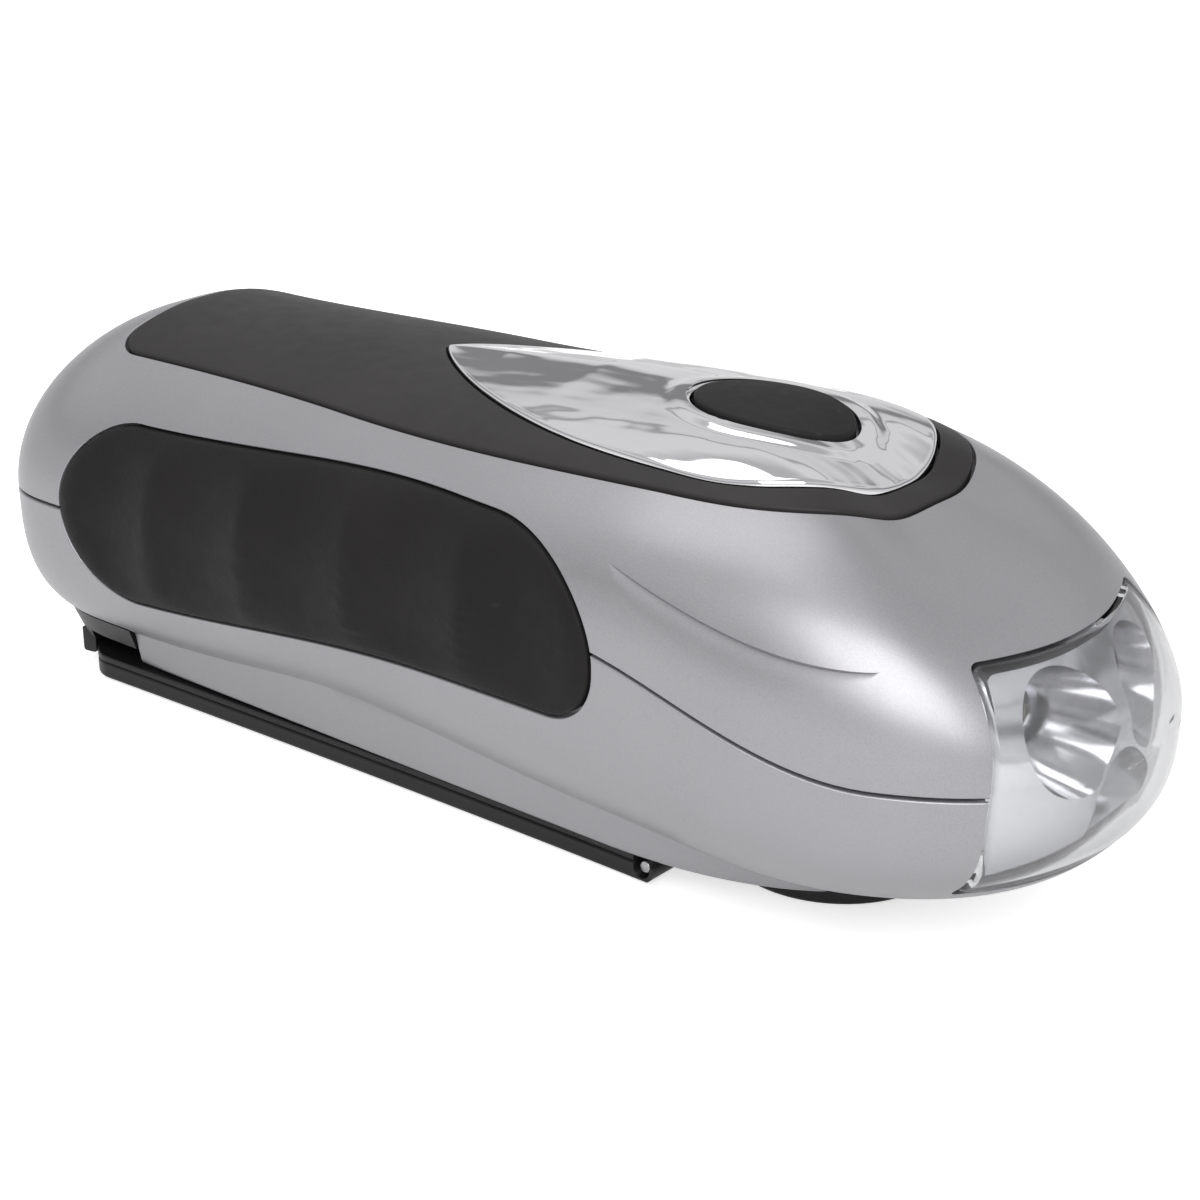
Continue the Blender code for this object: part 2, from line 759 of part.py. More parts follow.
def make_top_trim(materials):
    """Inlay, bezel and button, and the cutters that seat them in the upper shell."""
    deep = -INLAY_THICKNESS
    ends = inlay_ends()
    inlay = pad("top_inlay", inlay_half(0), raised(deep), raised(INLAY_PROUD), PAD_RING_SHARES, ends,
                materials["inlay"])
    below = raised(deep - OVERRUN)
    window = pad("bezel_window", bezel_half(GAP), below, raised(OVERRUN), CUTTER_RING_SHARES, bezel_ends())
    cut(inlay, window)
    bezel = pad("button_bezel", bezel_half(0), raised(deep), bezel_height, PAD_RING_SHARES, bezel_ends(),
                materials["chrome"])
    well = pad("button_well", button_half(GAP), below, raised(WALL), CUTTER_RING_SHARES, button_ends())
    cut(bezel, well)
    above = raised(WALL + OVERRUN)
    return pad("inlay_pocket", inlay_half(GAP), raised(deep - GAP), above, POCKET_RING_SHARES, ends)


def board_top():
    """Height of the main board's upper face under the crown."""
    return TOP_Z - BOARD_DROP


def make_button(materials):
    """Rubber button with its stem, on the axis it travels along."""
    rest = (BUTTON_X, 0, TOP_Z)
    floor = GAP + BUTTON_TRAVEL - INLAY_THICKNESS - GAP
    crown = raised(BUTTON_RISE, BUTTON_CROWN, BUTTON_CROWN_POWER)
    button = pad("power_button", button_half(0), raised(floor), crown, BUTTON_RING_SHARES, button_ends(),
                 materials["button"], rest)
    stem_low = board_top() + GAP + SWITCH_HEIGHT + PLUNGER_HEIGHT + GAP + BUTTON_TRAVEL
    join(button, cylinder("button_stem", STEM_RADIUS, stem_low, TOP_Z, (BUTTON_X, 0)))
    return cylinder("stem_hole", STEM_RADIUS + GAP, board_top(), TOP_Z + OVERRUN, (BUTTON_X, 0))


def grip_centre_z(x):
    """Height of the middle line of a side grip."""
    return mix(GRIP_REAR_Z, GRIP_FRONT_Z, ease((x - GRIP_REAR_X) / (GRIP_BEND_X - GRIP_REAR_X)))


def grip_half_height(x):
    """Half height of a side grip, a little taller at its rear."""
    share = ease((x - GRIP_REAR_X) / (GRIP_FRONT_X - GRIP_REAR_X))
    return mix(GRIP_REAR_HALF_HEIGHT, GRIP_FRONT_HALF_HEIGHT, share)


def arc(centre, radii, start, end, steps):
    """Points of an elliptic arc, both ends included."""
    points = []
    for k in range(steps + 1):
        turn = mix(start, end, k / steps)
        points.append((centre[0] + radii[0] * math.cos(turn), centre[1] + radii[1] * math.sin(turn)))
    return points


def grip_outline(grow):
    """Side outline of a grip as x, z and the x of the middle line that it shrinks to."""
    rear_x = GRIP_REAR_X + GRIP_REAR_RADIUS
    upper_x = GRIP_FRONT_X - GRIP_UPPER_RADIUS
    lower_x = GRIP_FRONT_X - GRIP_LOWER_RADIUS
    rear = arc((rear_x, grip_centre_z(rear_x)), (GRIP_REAR_RADIUS + grow, grip_half_height(rear_x) + grow),
               math.pi * 1.5, math.pi / 2, GRIP_STEPS * 2)
    points = [(x, z, rear_x) for x, z in rear]
    for k in range(1, GRIP_RUN_STEPS):
        x = mix(rear_x, upper_x, k / GRIP_RUN_STEPS)
        points.append((x, grip_centre_z(x) + grip_half_height(x) + grow, x))
    top = grip_centre_z(upper_x) + grip_half_height(upper_x)
    base = grip_centre_z(lower_x) - grip_half_height(lower_x)
    upper_drop = top - base - GRIP_LOWER_RADIUS - GRIP_FRONT_STRAIGHT
    front = arc((upper_x, top - upper_drop), (GRIP_UPPER_RADIUS + grow, upper_drop + grow),
                math.pi / 2, 0, GRIP_STEPS)
    front += arc((lower_x, base + GRIP_LOWER_RADIUS), (GRIP_LOWER_RADIUS + grow, GRIP_LOWER_RADIUS + grow),
                 0, -math.pi / 2, GRIP_CORNER_STEPS)
    points += [(x, z, upper_x) for x, z in front]
    for k in range(1, GRIP_RUN_STEPS):
        x = mix(lower_x, rear_x, k / GRIP_RUN_STEPS)
        z = grip_centre_z(x) - grip_half_height(x) - grow
        points.append((x, z, mix(upper_x, rear_x, k / GRIP_RUN_STEPS)))
    return points


def scallop(x):
    """Depth of the finger scallops along a grip."""
    pitch = (GRIP_FRONT_X - GRIP_REAR_X) / GRIP_SCALLOPS
    return GRIP_SCALLOP_DEPTH * abs(math.sin(math.pi * (x - GRIP_REAR_X) / pitch))


def grip_solid(name, side, grow, inner, outer, material=None):
    """Pad on one flank between two offsets from the outer skin."""
    outline = grip_outline(grow)

    def ring(share, offset):
        row = []
        for x, z, middle_x in outline:
            px = mix(middle_x, x, share)
            pz = mix(grip_centre_z(middle_x), z, share)
            row.append((px, side * (flank_y(px, pz) + offset(px, share)), pz))
        return row

    steps = [1, *GRIP_RING_SHARES, 0]
    rows = [ring(s, inner) for s in reversed(steps)] + [ring(s, outer) for s in steps]
    return loft(name, rows, material)


def make_grips(materials):
    """Both rubber grips and the recesses they sit in."""
    recesses = []
    for name, side in (("left", 1), ("right", -1)):
        grip_solid("grip_" + name, side, 0, lambda x, share: -GRIP_DEPTH,
                   lambda x, share: mix(GRIP_EDGE_PROUD, GRIP_PROUD, 1 - share ** GRIP_EDGE_POWER)
                   - scallop(x) * (1 - share ** CROWN_POWER), materials["grip"])
        recesses.append(grip_solid("grip_recess_" + name, side, GAP, lambda x, share: -GRIP_DEPTH - GAP,
                                   lambda x, share: WALL + OVERRUN))
    return recesses


def crescent_cutter(name, side):
    """Wedge with one sharp upper wall that runs out at both ends."""
    rows = []
    for k in range(CRESCENT_STEPS + 1):
        share = k / CRESCENT_STEPS
        swell = math.sin(math.pi * share) ** CRESCENT_SWELL_SHARE if 0 < k < CRESCENT_STEPS else 0
        x = mix(CRESCENT_REAR_X, CRESCENT_FRONT_X, share)
        climb = mix(CRESCENT_REAR_SHARE, CRESCENT_FRONT_SHARE, share)
        high = mix(seam_z(x), TOP_Z, climb) - CRESCENT_BOW * math.sin(math.pi * share)
        low = high - CRESCENT_WIDTH * swell
        out_high = flank_y(x, high) + OVERRUN * swell
        deep = flank_y(x, high) - CRESCENT_DEPTH * swell
        edge_low = flank_y(x, low) + GAP * swell
        rows.append([(x, side * out_high, high), (x, side * deep, high), (x, side * edge_low, low)])
    return loft(name, rows)


def lens_top_z():
    """Height of the lens's upper edge, between the seam at the nose and the crown."""
    return mix(SEAM_NOSE_Z, TOP_Z, LENS_TOP_SHARE)


def lens_half(grow):
    """Half of the lens outline seen from the front, as y and z, from the top middle down."""
    def half_width_at(share):
        straight = mix(LENS_LOW_HALF_WIDTH, LENS_TOP_HALF_WIDTH, share)
        return straight + LENS_SIDE_BULGE * 4 * share * (1 - share) + grow

    points = []
    for k in range(LENS_STEPS + 1):
        share = k / LENS_STEPS
        points.append((half_width_at(1) * share, lens_top_z() + grow - LENS_TOP_SAG * (1 - share * share)))
    for k in range(1, LENS_STEPS):
        share = 1 - k / LENS_STEPS
        points.append((half_width_at(share), mix(LENS_LOW_Z - grow, lens_top_z() + grow, share)))
    for k in range(LENS_STEPS + 1):
        share = 1 - k / LENS_STEPS
        points.append((half_width_at(0) * share, LENS_LOW_Z - grow + LENS_LOW_RISE * (1 - share * share)))
    return points


def lens_outline(grow):
    """Whole lens outline seen from the front, as y and z."""
    half = lens_half(grow)
    return half + [(-y, z) for y, z in reversed(half[1:-1])]


def make_front(materials):
    """Lens, reflector, light emitters and their board, and the opening they need."""
    lens = whole_solid("front_lens", 0, materials["lens"])
    change(lens, prism("lens_trim", lens_outline(0), LENS_CUT_X, NOSE_X + OVERRUN, axis="X"), "INTERSECT")
    cut(lens, whole_solid("lens_core", LENS_WALL))

    back_x = NOSE_X - REFLECTOR_SETBACK
    front_x = back_x + REFLECTOR_DEPTH
    reflector = whole_solid("reflector", LENS_WALL + GAP, materials["mirror"])
    window = lens_outline(-REFLECTOR_MARGIN)
    trim = prism("reflector_trim", window, back_x, front_x, axis="X")
    change(reflector, trim, "INTERSECT")
    upper_z = lens_top_z() - LED_UPPER_DROP
    places = (("led_left", LED_SPREAD, upper_z), ("led_right", -LED_SPREAD, upper_z),
              ("led_low", 0, LENS_LOW_Z + LED_LOWER_RISE))
    flange_x = back_x - GAP - LED_FLANGE
    for name, y, z in places:
        slope = (CUP_FRONT_RADIUS - CUP_BACK_RADIUS) / (front_x - back_x)
        back_radius = CUP_BACK_RADIUS - slope * OVERRUN
        front_radius = CUP_FRONT_RADIUS + slope * OVERRUN
        cup = cylinder(name + "_cup", back_radius, back_x - OVERRUN, front_x + OVERRUN,
                       (y, z), axis="X", steps=28, top_radius=front_radius)
        bore = cylinder(name + "_bore", LED_RADIUS + GAP, back_x - OVERRUN,
                        mix(back_x, front_x, 0.5), (y, z), axis="X")
        cut(reflector, cup, bore)
        barrel = LED_LENGTH - LED_RADIUS
        profile = [(0, LED_LENGTH)]
        for k in range(1, 5):
            turn = math.pi / 2 * k / 4
            profile.append((LED_RADIUS * math.sin(turn), barrel + LED_RADIUS * math.cos(turn)))
        profile += [(LED_RADIUS, LED_FLANGE), (LED_FLANGE_RADIUS, LED_FLANGE), (LED_FLANGE_RADIUS, 0), (0, 0)]
        turned(name, profile, (flange_x, y, z), materials["led"], along_x=True, steps=16)
    board_x = flange_x - GAP
    prism("led_board", lens_outline(-LED_BOARD_MARGIN), board_x - LED_BOARD_THICKNESS, board_x,
          materials["board"], axis="X")
    return prism("lens_opening", lens_outline(GAP), LENS_CUT_X + OVERRUN, NOSE_X + OVERRUN, axis="X")


def screw_places():
    """Centres of the four housing screws."""
    places = ((REAR_SCREW_X, REAR_SCREW_Y), (FRONT_SCREW_X, FRONT_SCREW_Y))
    return [(x, side * y) for x, y in places for side in (1, -1)]


def screw_shelf_z(x):
    """Height of the shelf that a screw head bears on."""
    return seam_z(x) - GAP / 2 - SCREW_SHELF


def make_screws(materials):
    """Four screws driven up through the lower bosses."""
    for number, (x, y) in enumerate(screw_places(), start=1):
        shelf = screw_shelf_z(x)
        low = shelf - GAP - SCREW_HEAD
        profile = [
            (0, shelf + SCREW_SHELF + SCREW_BITE), (SCREW_RADIUS, shelf + SCREW_SHELF + SCREW_BITE),
            (SCREW_RADIUS, shelf - GAP), (SCREW_HEAD_RADIUS, shelf - GAP), (SCREW_HEAD_RADIUS, low),
            (SCREW_SOCKET_RADIUS, low), (0, low + SCREW_SOCKET_DEPTH),
        ]
        turned("housing_screw_" + str(number), [(r, z - low) for r, z in profile], (x, y, low),
               materials["steel"], steps=14)


def make_upper_shell(materials, cutters):
    """Upper shell with its hollow, screw bosses, board posts and trim seats."""
    shell = upper_solid("upper_shell", 0, GAP / 2, materials["silver"])
    hollow = upper_solid("upper_hollow", WALL, -OVERRUN)
    for number, (x, y) in enumerate(screw_places()):
        cut(hollow, cylinder("upper_boss_" + str(number), BOSS_RADIUS, 0, TOP_Z, (x, y)))
    for number, (x, y) in enumerate(board_posts()):
        post = cylinder("board_post_" + str(number), POST_RADIUS, board_top() + GAP, TOP_Z, (x, y), steps=12)
        cut(hollow, post)
    for number, (x, y) in enumerate(screw_places()):
        top = seam_z(x) + SCREW_BITE + OVERRUN
        cut(shell, cylinder("pilot_" + str(number), SCREW_RADIUS + GAP, 0, top, (x, y), steps=14))
    cut(shell, hollow, *cutters)
    return shell


def board_posts():
    """Places of the posts that the main board is held against."""
    ends = (BOARD_REAR_X + POST_MARGIN, BOARD_FRONT_X - POST_MARGIN)
    side = BOARD_HALF_WIDTH - POST_MARGIN
    return [(x, y) for x in ends for y in (-side, side)]


def platform_half(height):
    """Half outline of the platform at a height, from its round front to its square rear."""
    rise = height - PLATFORM_Z
    half = []
    for k in range(PLATFORM_STEPS):
        turn = math.pi / 2 * k / PLATFORM_STEPS
        grow = PLATFORM_DRAFT_SHARE * rise
        length = PLATFORM_FRONT_X - PLATFORM_BEND_X + grow
        x = PLATFORM_BEND_X + length * math.cos(turn) ** (2 / PLATFORM_FRONT_POWER)
        half.append((x, (PLATFORM_HALF_WIDTH + grow) * math.sin(turn) ** (2 / PLATFORM_FRONT_POWER), height))
    for k in range(PLATFORM_STEPS + 1):
        x = mix(PLATFORM_BEND_X, platform_rear(), k / PLATFORM_STEPS)
        away = ease((x - platform_rear()) / PLATFORM_PINCH_LENGTH)
        draft = mix(PLATFORM_REAR_DRAFT_SHARE, PLATFORM_DRAFT_SHARE, away)
        half.append((x, PLATFORM_HALF_WIDTH - PLATFORM_REAR_PINCH * (1 - away) + draft * rise, height))
    half.append((platform_rear(), 0, height))
    return half


def platform_solid(name):
    """Drafted platform that stands out below the hull."""
    rows = []
    for height in (PLATFORM_Z, PLATFORM_TOP_Z):
        loop = whole_loop(platform_half(height))
        rows.append(loop)
    flat = [[(x, 0, z) for x, y, z in loop] for loop in rows]
    return loft(name, [flat[0], rows[0], rows[1], flat[1]])


def lever_reach():
    """Radius of the lever's rear end about the hub axis."""
    return HUB_X - TAIL_X - LEVER_REAR_INSET


def knob_orbit():
    """Radius of the knob's axis about the hub axis."""
    return lever_reach() - KNOB_RADIUS - KNOB_EDGE


def channel_inner():
    """Radius of the step that closes the platform ahead of the knob's path."""
    return knob_orbit() - KNOB_RADIUS - CHANNEL_FRONT_CLEARANCE


def channel_outer():
    """Radius of the wall behind the knob's path."""
    return knob_orbit() + KNOB_RADIUS + CHANNEL_CLEARANCE


def channel_ceiling():
    """Height of the roof over the knob's path."""
    return LEVER_THICKNESS + KNOB_PROUD + CHANNEL_HEADROOM


def tail_reach():
    """Radius about the hub axis that is past the tail."""
    return HUB_X - TAIL_X + OVERRUN


def platform_rear():
    """Rear end of the platform's stock, which the tail step then trims."""
    return HUB_X - channel_outer()


def sector(name, inner, outer, low, high, half_angle, material=None):
    """Upright slab between two arcs about the hub axis, on the tail side."""
    start = math.pi - half_angle
    turns = [start + 2 * half_angle * k / SECTOR_STEPS for k in range(SECTOR_STEPS + 1)]
    outline = [(HUB_X + outer * math.cos(t), outer * math.sin(t)) for t in turns]
    outline += [(HUB_X + inner * math.cos(t), inner * math.sin(t)) for t in reversed(turns)]
    return prism(name, outline, low, high, material)


def axle_places():
    """Centres of the idler and of the rotor, from the gears that mesh."""
    idler = HUB_X - mesh_distance()
    return idler, idler - mesh_distance()


def mesh_distance():
    """Centre distance of a wheel and a pinion."""
    return TOOTH_MODULE * (WHEEL_TEETH + PINION_TEETH) / 2


def make_lower_shell(materials, cutters):
    """Lower shell with its platform, bosses, bearings and cradle."""
    shell = lower_solid("lower_shell", 0, -GAP / 2, materials["silver"])
    join(shell, platform_solid("platform"))
    hollow = lower_solid("lower_hollow", WALL, OVERRUN)
    cut(hollow, box("tail_floor", (TAIL_X, -MID_HALF_WIDTH, 0),
                    (platform_rear() + CRADLE_HALF_WIDTH, MID_HALF_WIDTH, TAIL_CUT_Z + WALL)))
    floor = HULL_REAR_Z + WALL
    for number, (x, y) in enumerate(screw_places()):
        cut(hollow, cylinder("lower_boss_" + str(number), BOSS_RADIUS, 0, TOP_Z, (x, y)))
    bearing_top = floor + BEARING_RISE
    cut(hollow, cylinder("hub_bearing", BEARING_RADIUS, 0, bearing_top, (HUB_X, 0)))
    for number, x in enumerate(axle_places()):
        cut(hollow, cylinder("axle_bearing_" + str(number), AXLE_BOSS_RADIUS, 0, bearing_top, (x, 0)))
    for number, (x, y) in enumerate(plate_posts()):
        top = GEAR_PLATE_Z - GAP
        post = cylinder("plate_post_" + str(number), PLATE_POST_RADIUS, 0, top, (x, y), steps=12)
        cut(hollow, post)
    for number, x in enumerate((BATTERY_REAR_X + CRADLE_MARGIN, BATTERY_FRONT_X - CRADLE_MARGIN)):
        cut(hollow, box("cradle_" + str(number), (x - CRADLE_THICKNESS / 2, -CRADLE_HALF_WIDTH, 0),
                        (x + CRADLE_THICKNESS / 2, CRADLE_HALF_WIDTH, CRADLE_TOP_Z)))
    cut(shell, hollow, *cutters)
    cut(shell, cylinder("battery_bed", BATTERY_RADIUS + GAP, BATTERY_REAR_X - GAP, BATTERY_FRONT_X + GAP,
                        (0, battery_z()), axis="X", steps=24))
    cut(shell, sector("tail_step", channel_inner(), tail_reach(), -OVERRUN, TAIL_CUT_Z, SECTOR_HALF_ANGLE))
    cut(shell, cylinder("hub_bore", SHAFT_RADIUS + GAP, 0, bearing_top + OVERRUN, (HUB_X, 0)))
    for number, x in enumerate(axle_places()):
        cut(shell, cylinder("axle_seat_" + str(number), AXLE_RADIUS + GAP, axle_low() - GAP,
                            bearing_top + OVERRUN, (x, 0), steps=16))
    for number, (x, y) in enumerate(screw_places()):
        shelf = screw_shelf_z(x)
        cut(shell, cylinder("counterbore_" + str(number), SCREW_HEAD_RADIUS + GAP, -OVERRUN, shelf, (x, y)))
        cut(shell, cylinder("screw_hole_" + str(number), SCREW_RADIUS + GAP, 0, TOP_Z, (x, y), steps=14))
    return shell


def plate_posts():
    """Places of the posts under the gear plate."""
    return [(x, y) for x in (PLATE_POST_REAR_X, PLATE_POST_X) for y in (-PLATE_POST_Y, PLATE_POST_Y)]


def battery_z():
    """Height of the battery's axis above the floor that it lies on."""
    return HULL_REAR_Z + WALL + GAP + BATTERY_RADIUS


def axle_low():
    """Lower end of both gear axles, in their blind seats."""
    return HULL_REAR_Z + WALL - AXLE_SEAT_DEPTH


def make_tail_block(materials):
    """Black block under the tail, with the knob channel and the lip behind the lever."""
    top = TAIL_CUT_Z - GAP
    inner = channel_inner() + GAP
    tail = []
    for x, y, nose, tail_share in stations(GAP):
        if x > REAR_SPINE_X + GAP:
            continue
        power = lower_power(x, nose, tail_share)
        drop = (seam_z(x) - TAIL_CUT_Z) / (seam_z(x) - hull_z(spine_x(x)))
        reach = (1 - drop ** power) ** (1 / power)
        tail.append((mix(spine_x(x), x, reach), y * reach))
    front_x = REAR_SPINE_X + BLOCK_FRONT_STOCK
    half = [(front_x, 0), (front_x, tail[0][1])] + tail
    upper = whole_loop([(x, y, top) for x, y in half])
    lower = []
    for x, y, z in upper:
        share = BLOCK_TAPER_SHARE
        low_x = mix(REAR_SPINE_X, x, share) if x < REAR_SPINE_X else x
        lower.append((low_x, y * share, BLOCK_Z))
    flat_upper = [(x, 0, z) for x, y, z in upper]
    flat_lower = [(x, 0, z) for x, y, z in lower]
    block = loft("tail_block", [flat_upper, upper, lower, flat_lower], materials["black"])
    lip = lever_reach() + LIP_CLEARANCE
    join(block, sector("tail_lip", lip, lip + LIP_THICKNESS, LIP_Z,
                       BLOCK_Z + OVERRUN, LIP_HALF_ANGLE))
    near = inner - BLOCK_FRONT_STOCK - OVERRUN
    cut(block, sector("knob_channel", near, channel_outer(), -OVERRUN, channel_ceiling(), SECTOR_HALF_ANGLE))
    cut(block, sector("block_front", near, inner, -OVERRUN, top + OVERRUN, SECTOR_HALF_ANGLE))
    return block


def gear_outline(teeth, centre, phase=0.0):
    """Outline of a spur gear with plain slanted teeth."""
    pitch_radius = TOOTH_MODULE * teeth / 2
    tip = pitch_radius + TOOTH_MODULE * TOOTH_RISE_SHARE
    root = pitch_radius - TOOTH_MODULE * TOOTH_DROP_SHARE
    step = 2 * math.pi / teeth
    points = []
    for k in range(teeth):
        middle = phase + k * step
        for radius, side in ((root, -TOOTH_ROOT_SHARE), (tip, -TOOTH_TIP_SHARE), (tip, TOOTH_TIP_SHARE),
                             (root, TOOTH_ROOT_SHARE)):
            turn = middle + side * step / 2
            points.append((centre + radius * math.cos(turn), radius * math.sin(turn)))
    return points


def make_gears(materials):
    """Drive gear, compound idler and rotor with the magnet, and the parts that hold them."""
    idler_x, rotor_x = axle_places()
    half_pinion = math.pi / PINION_TEETH
    drive_top = GEAR_Z + DRIVE_GEAR_THICKNESS
    drive = prism("drive_gear", gear_outline(WHEEL_TEETH, HUB_X), GEAR_Z, drive_top, materials["gear"],
                  (HUB_X, 0, 0))
    cut(drive, cylinder("drive_bore", SHAFT_RADIUS + GAP, 0, drive_top + OVERRUN, (HUB_X, 0)))

    wheel_z = GEAR_Z + IDLER_PINION_HEIGHT
    wheel_top = wheel_z + IDLER_WHEEL_THICKNESS
    idler = prism("idler_gear", gear_outline(WHEEL_TEETH, idler_x), wheel_z, wheel_top, materials["gear"],
                  (idler_x, 0, 0))
    pinion = prism("idler_pinion", gear_outline(PINION_TEETH, idler_x, half_pinion), GEAR_Z,
                   mix(wheel_z, wheel_top, 0.5))
    axle_top = GEAR_PLATE_Z + GEAR_PLATE_THICKNESS
    join(idler, pinion, cylinder("idler_axle", AXLE_RADIUS, axle_low(), axle_top, (idler_x, 0), steps=16))

    rotor_z = wheel_z - ROTOR_PINION_DROP
    rotor = prism("rotor_pinion", gear_outline(PINION_TEETH, rotor_x, half_pinion), rotor_z,
                  rotor_z + ROTOR_PINION_HEIGHT, materials["gear"], (rotor_x, 0, 0))
    magnet_z = axle_top + MAGNET_LIFT
    shaft_top = magnet_z + MAGNET_HEIGHT + GAP
    join(rotor, cylinder("rotor_axle", AXLE_RADIUS, axle_low(), shaft_top, (rotor_x, 0), steps=16))
    magnet = cylinder("rotor_magnet", MAGNET_RADIUS, magnet_z, magnet_z + MAGNET_HEIGHT, (rotor_x, 0),
                      materials["magnet"], steps=28)
    cut(magnet, cylinder("magnet_bore", AXLE_RADIUS + GAP, 0, shaft_top + OVERRUN, (rotor_x, 0), steps=16))

    plate = box("gear_plate", (GEAR_PLATE_REAR_X, -GEAR_PLATE_HALF_WIDTH, GEAR_PLATE_Z),
                (GEAR_PLATE_FRONT_X, GEAR_PLATE_HALF_WIDTH, axle_top), materials["steel"])
    for number, x in enumerate((idler_x, rotor_x)):
        bore = cylinder("plate_bore_" + str(number), AXLE_RADIUS + GAP, 0, axle_top + OVERRUN, (x, 0))
        cut(plate, bore)
    make_generator(materials, rotor_x, axle_top + GAP, magnet_z + MAGNET_HEIGHT)


def make_generator(materials, rotor_x, low, high):
    """Open iron ring round the magnet, with the coil that closes it at the rear."""
    inner = MAGNET_RADIUS + AIR_GAP
    outer = inner + STATOR_THICKNESS
    steps = 24
    start = math.pi + STATOR_OPEN_ANGLE
    sweep = 2 * (math.pi - STATOR_OPEN_ANGLE)
    turns = [start + sweep * k / steps for k in range(steps + 1)]
    outline = [(rotor_x + outer * math.cos(t), outer * math.sin(t)) for t in turns]
    outline += [(rotor_x + inner * math.cos(t), inner * math.sin(t)) for t in reversed(turns)]
    prism("stator_core", outline, low, high, materials["steel"])
    side = inner * math.sin(STATOR_OPEN_ANGLE) - AIR_GAP
    front = rotor_x - inner
    box("generator_coil", (front - COIL_LENGTH, -side, low), (front, side, high), materials["copper"])


def make_electronics(materials):
    """Main board, push switch and battery pack."""
    box("main_board", (BOARD_REAR_X, -BOARD_HALF_WIDTH, board_top() - BOARD_THICKNESS),
        (BOARD_FRONT_X, BOARD_HALF_WIDTH, board_top()), materials["board"])
    low = board_top() + GAP
    switch = box("tact_switch", (BUTTON_X - SWITCH_HALF_WIDTH, -SWITCH_HALF_WIDTH, low),
                 (BUTTON_X + SWITCH_HALF_WIDTH, SWITCH_HALF_WIDTH, low + SWITCH_HEIGHT), materials["black"])
    join(switch, cylinder("plunger", PLUNGER_RADIUS, low + SWITCH_HEIGHT / 2,
                          low + SWITCH_HEIGHT + PLUNGER_HEIGHT, (BUTTON_X, 0), steps=16))
    cylinder("battery_pack", BATTERY_RADIUS, BATTERY_REAR_X, BATTERY_FRONT_X, (0, battery_z()),
             materials["battery"], axis="X", steps=24)


def make_hub(materials):
    """Hub disc with the hinge lug and the shaft that carries the drive gear."""
    half = LEVER_THICKNESS / 2
    profile = [(0, LEVER_THICKNESS), (HUB_RADIUS, LEVER_THICKNESS), (HUB_RADIUS, HUB_EDGE_RADIUS)]
    for k in range(1, 4):
        turn = math.pi / 2 * k / 3
        radius = HUB_RADIUS - HUB_EDGE_RADIUS * (1 - math.cos(turn))
        profile.append((radius, HUB_EDGE_RADIUS * (1 - math.sin(turn))))
    profile.append((0, 0))
    hub = turned("crank_hub", profile, (HUB_X, 0, 0), materials["black"], steps=40)

    lug_end = PIN_X + LUG_STRAIGHT
    rows = []
    for height, reach in knuckle_levels():
        edge = [(HUB_X, 0, height), (HUB_X, LUG_WAIST_HALF_WIDTH, height),
                (lug_end + LUG_TAPER, LUG_WAIST_HALF_WIDTH, height), (lug_end, LUG_HALF_WIDTH, height),
                (PIN_X - reach, LUG_HALF_WIDTH, height), (PIN_X - reach, 0, height)]
        rows.append(whole_loop(edge))
    flat = [[(x, 0, z) for x, y, z in row] for row in (rows[0], rows[-1])]
    join(hub, loft("hinge_lug", [flat[0], *rows, flat[1]]))
    shaft_top = GEAR_Z + DRIVE_GEAR_THICKNESS
    join(hub, cylinder("hub_shaft", SHAFT_RADIUS, half, shaft_top, (HUB_X, 0)))
    cut(hub, cylinder("hub_screw_hole", HUB_SCREW_RADIUS + GAP, shaft_top - HUB_SCREW_LENGTH - GAP,
                      shaft_top + OVERRUN, (HUB_X, 0), steps=14))
    cut(hub, cylinder("lug_bore", PIN_RADIUS + GAP, -MID_HALF_WIDTH, MID_HALF_WIDTH, (PIN_X, half),
                      axis="Y", steps=16))

    head_low = shaft_top + GAP
    profile = [(0, head_low + HUB_SCREW_HEAD), (HUB_SCREW_HEAD_RADIUS, head_low + HUB_SCREW_HEAD),
               (HUB_SCREW_HEAD_RADIUS, head_low), (HUB_SCREW_RADIUS, head_low),
               (HUB_SCREW_RADIUS, shaft_top - HUB_SCREW_LENGTH), (0, shaft_top - HUB_SCREW_LENGTH)]
    turned("hub_screw", profile, (HUB_X, 0, 0), materials["steel"], steps=16)
    cylinder("hinge_pin", PIN_RADIUS, -PIN_HALF_LENGTH, PIN_HALF_LENGTH, (PIN_X, half), materials["steel"],
             axis="Y", steps=16)


def knuckle_levels():
    """Levels through the lever's thickness and how far its round end reaches past the pin."""
    half = LEVER_THICKNESS / 2
    turns = [math.pi * k / KNUCKLE_STEPS for k in range(KNUCKLE_STEPS + 1)]
    return [(half - half * math.cos(t), half * math.sin(t)) for t in turns]


def lever_half_width(x):
    """Half width of the lever, a little wider at its tail."""
    rear_x = HUB_X - lever_reach()
    taper = ease((x - rear_x) / (PIN_X - rear_x)) ** LEVER_TAPER_POWER
    return mix(LEVER_REAR_HALF_WIDTH, LEVER_FRONT_HALF_WIDTH, taper)


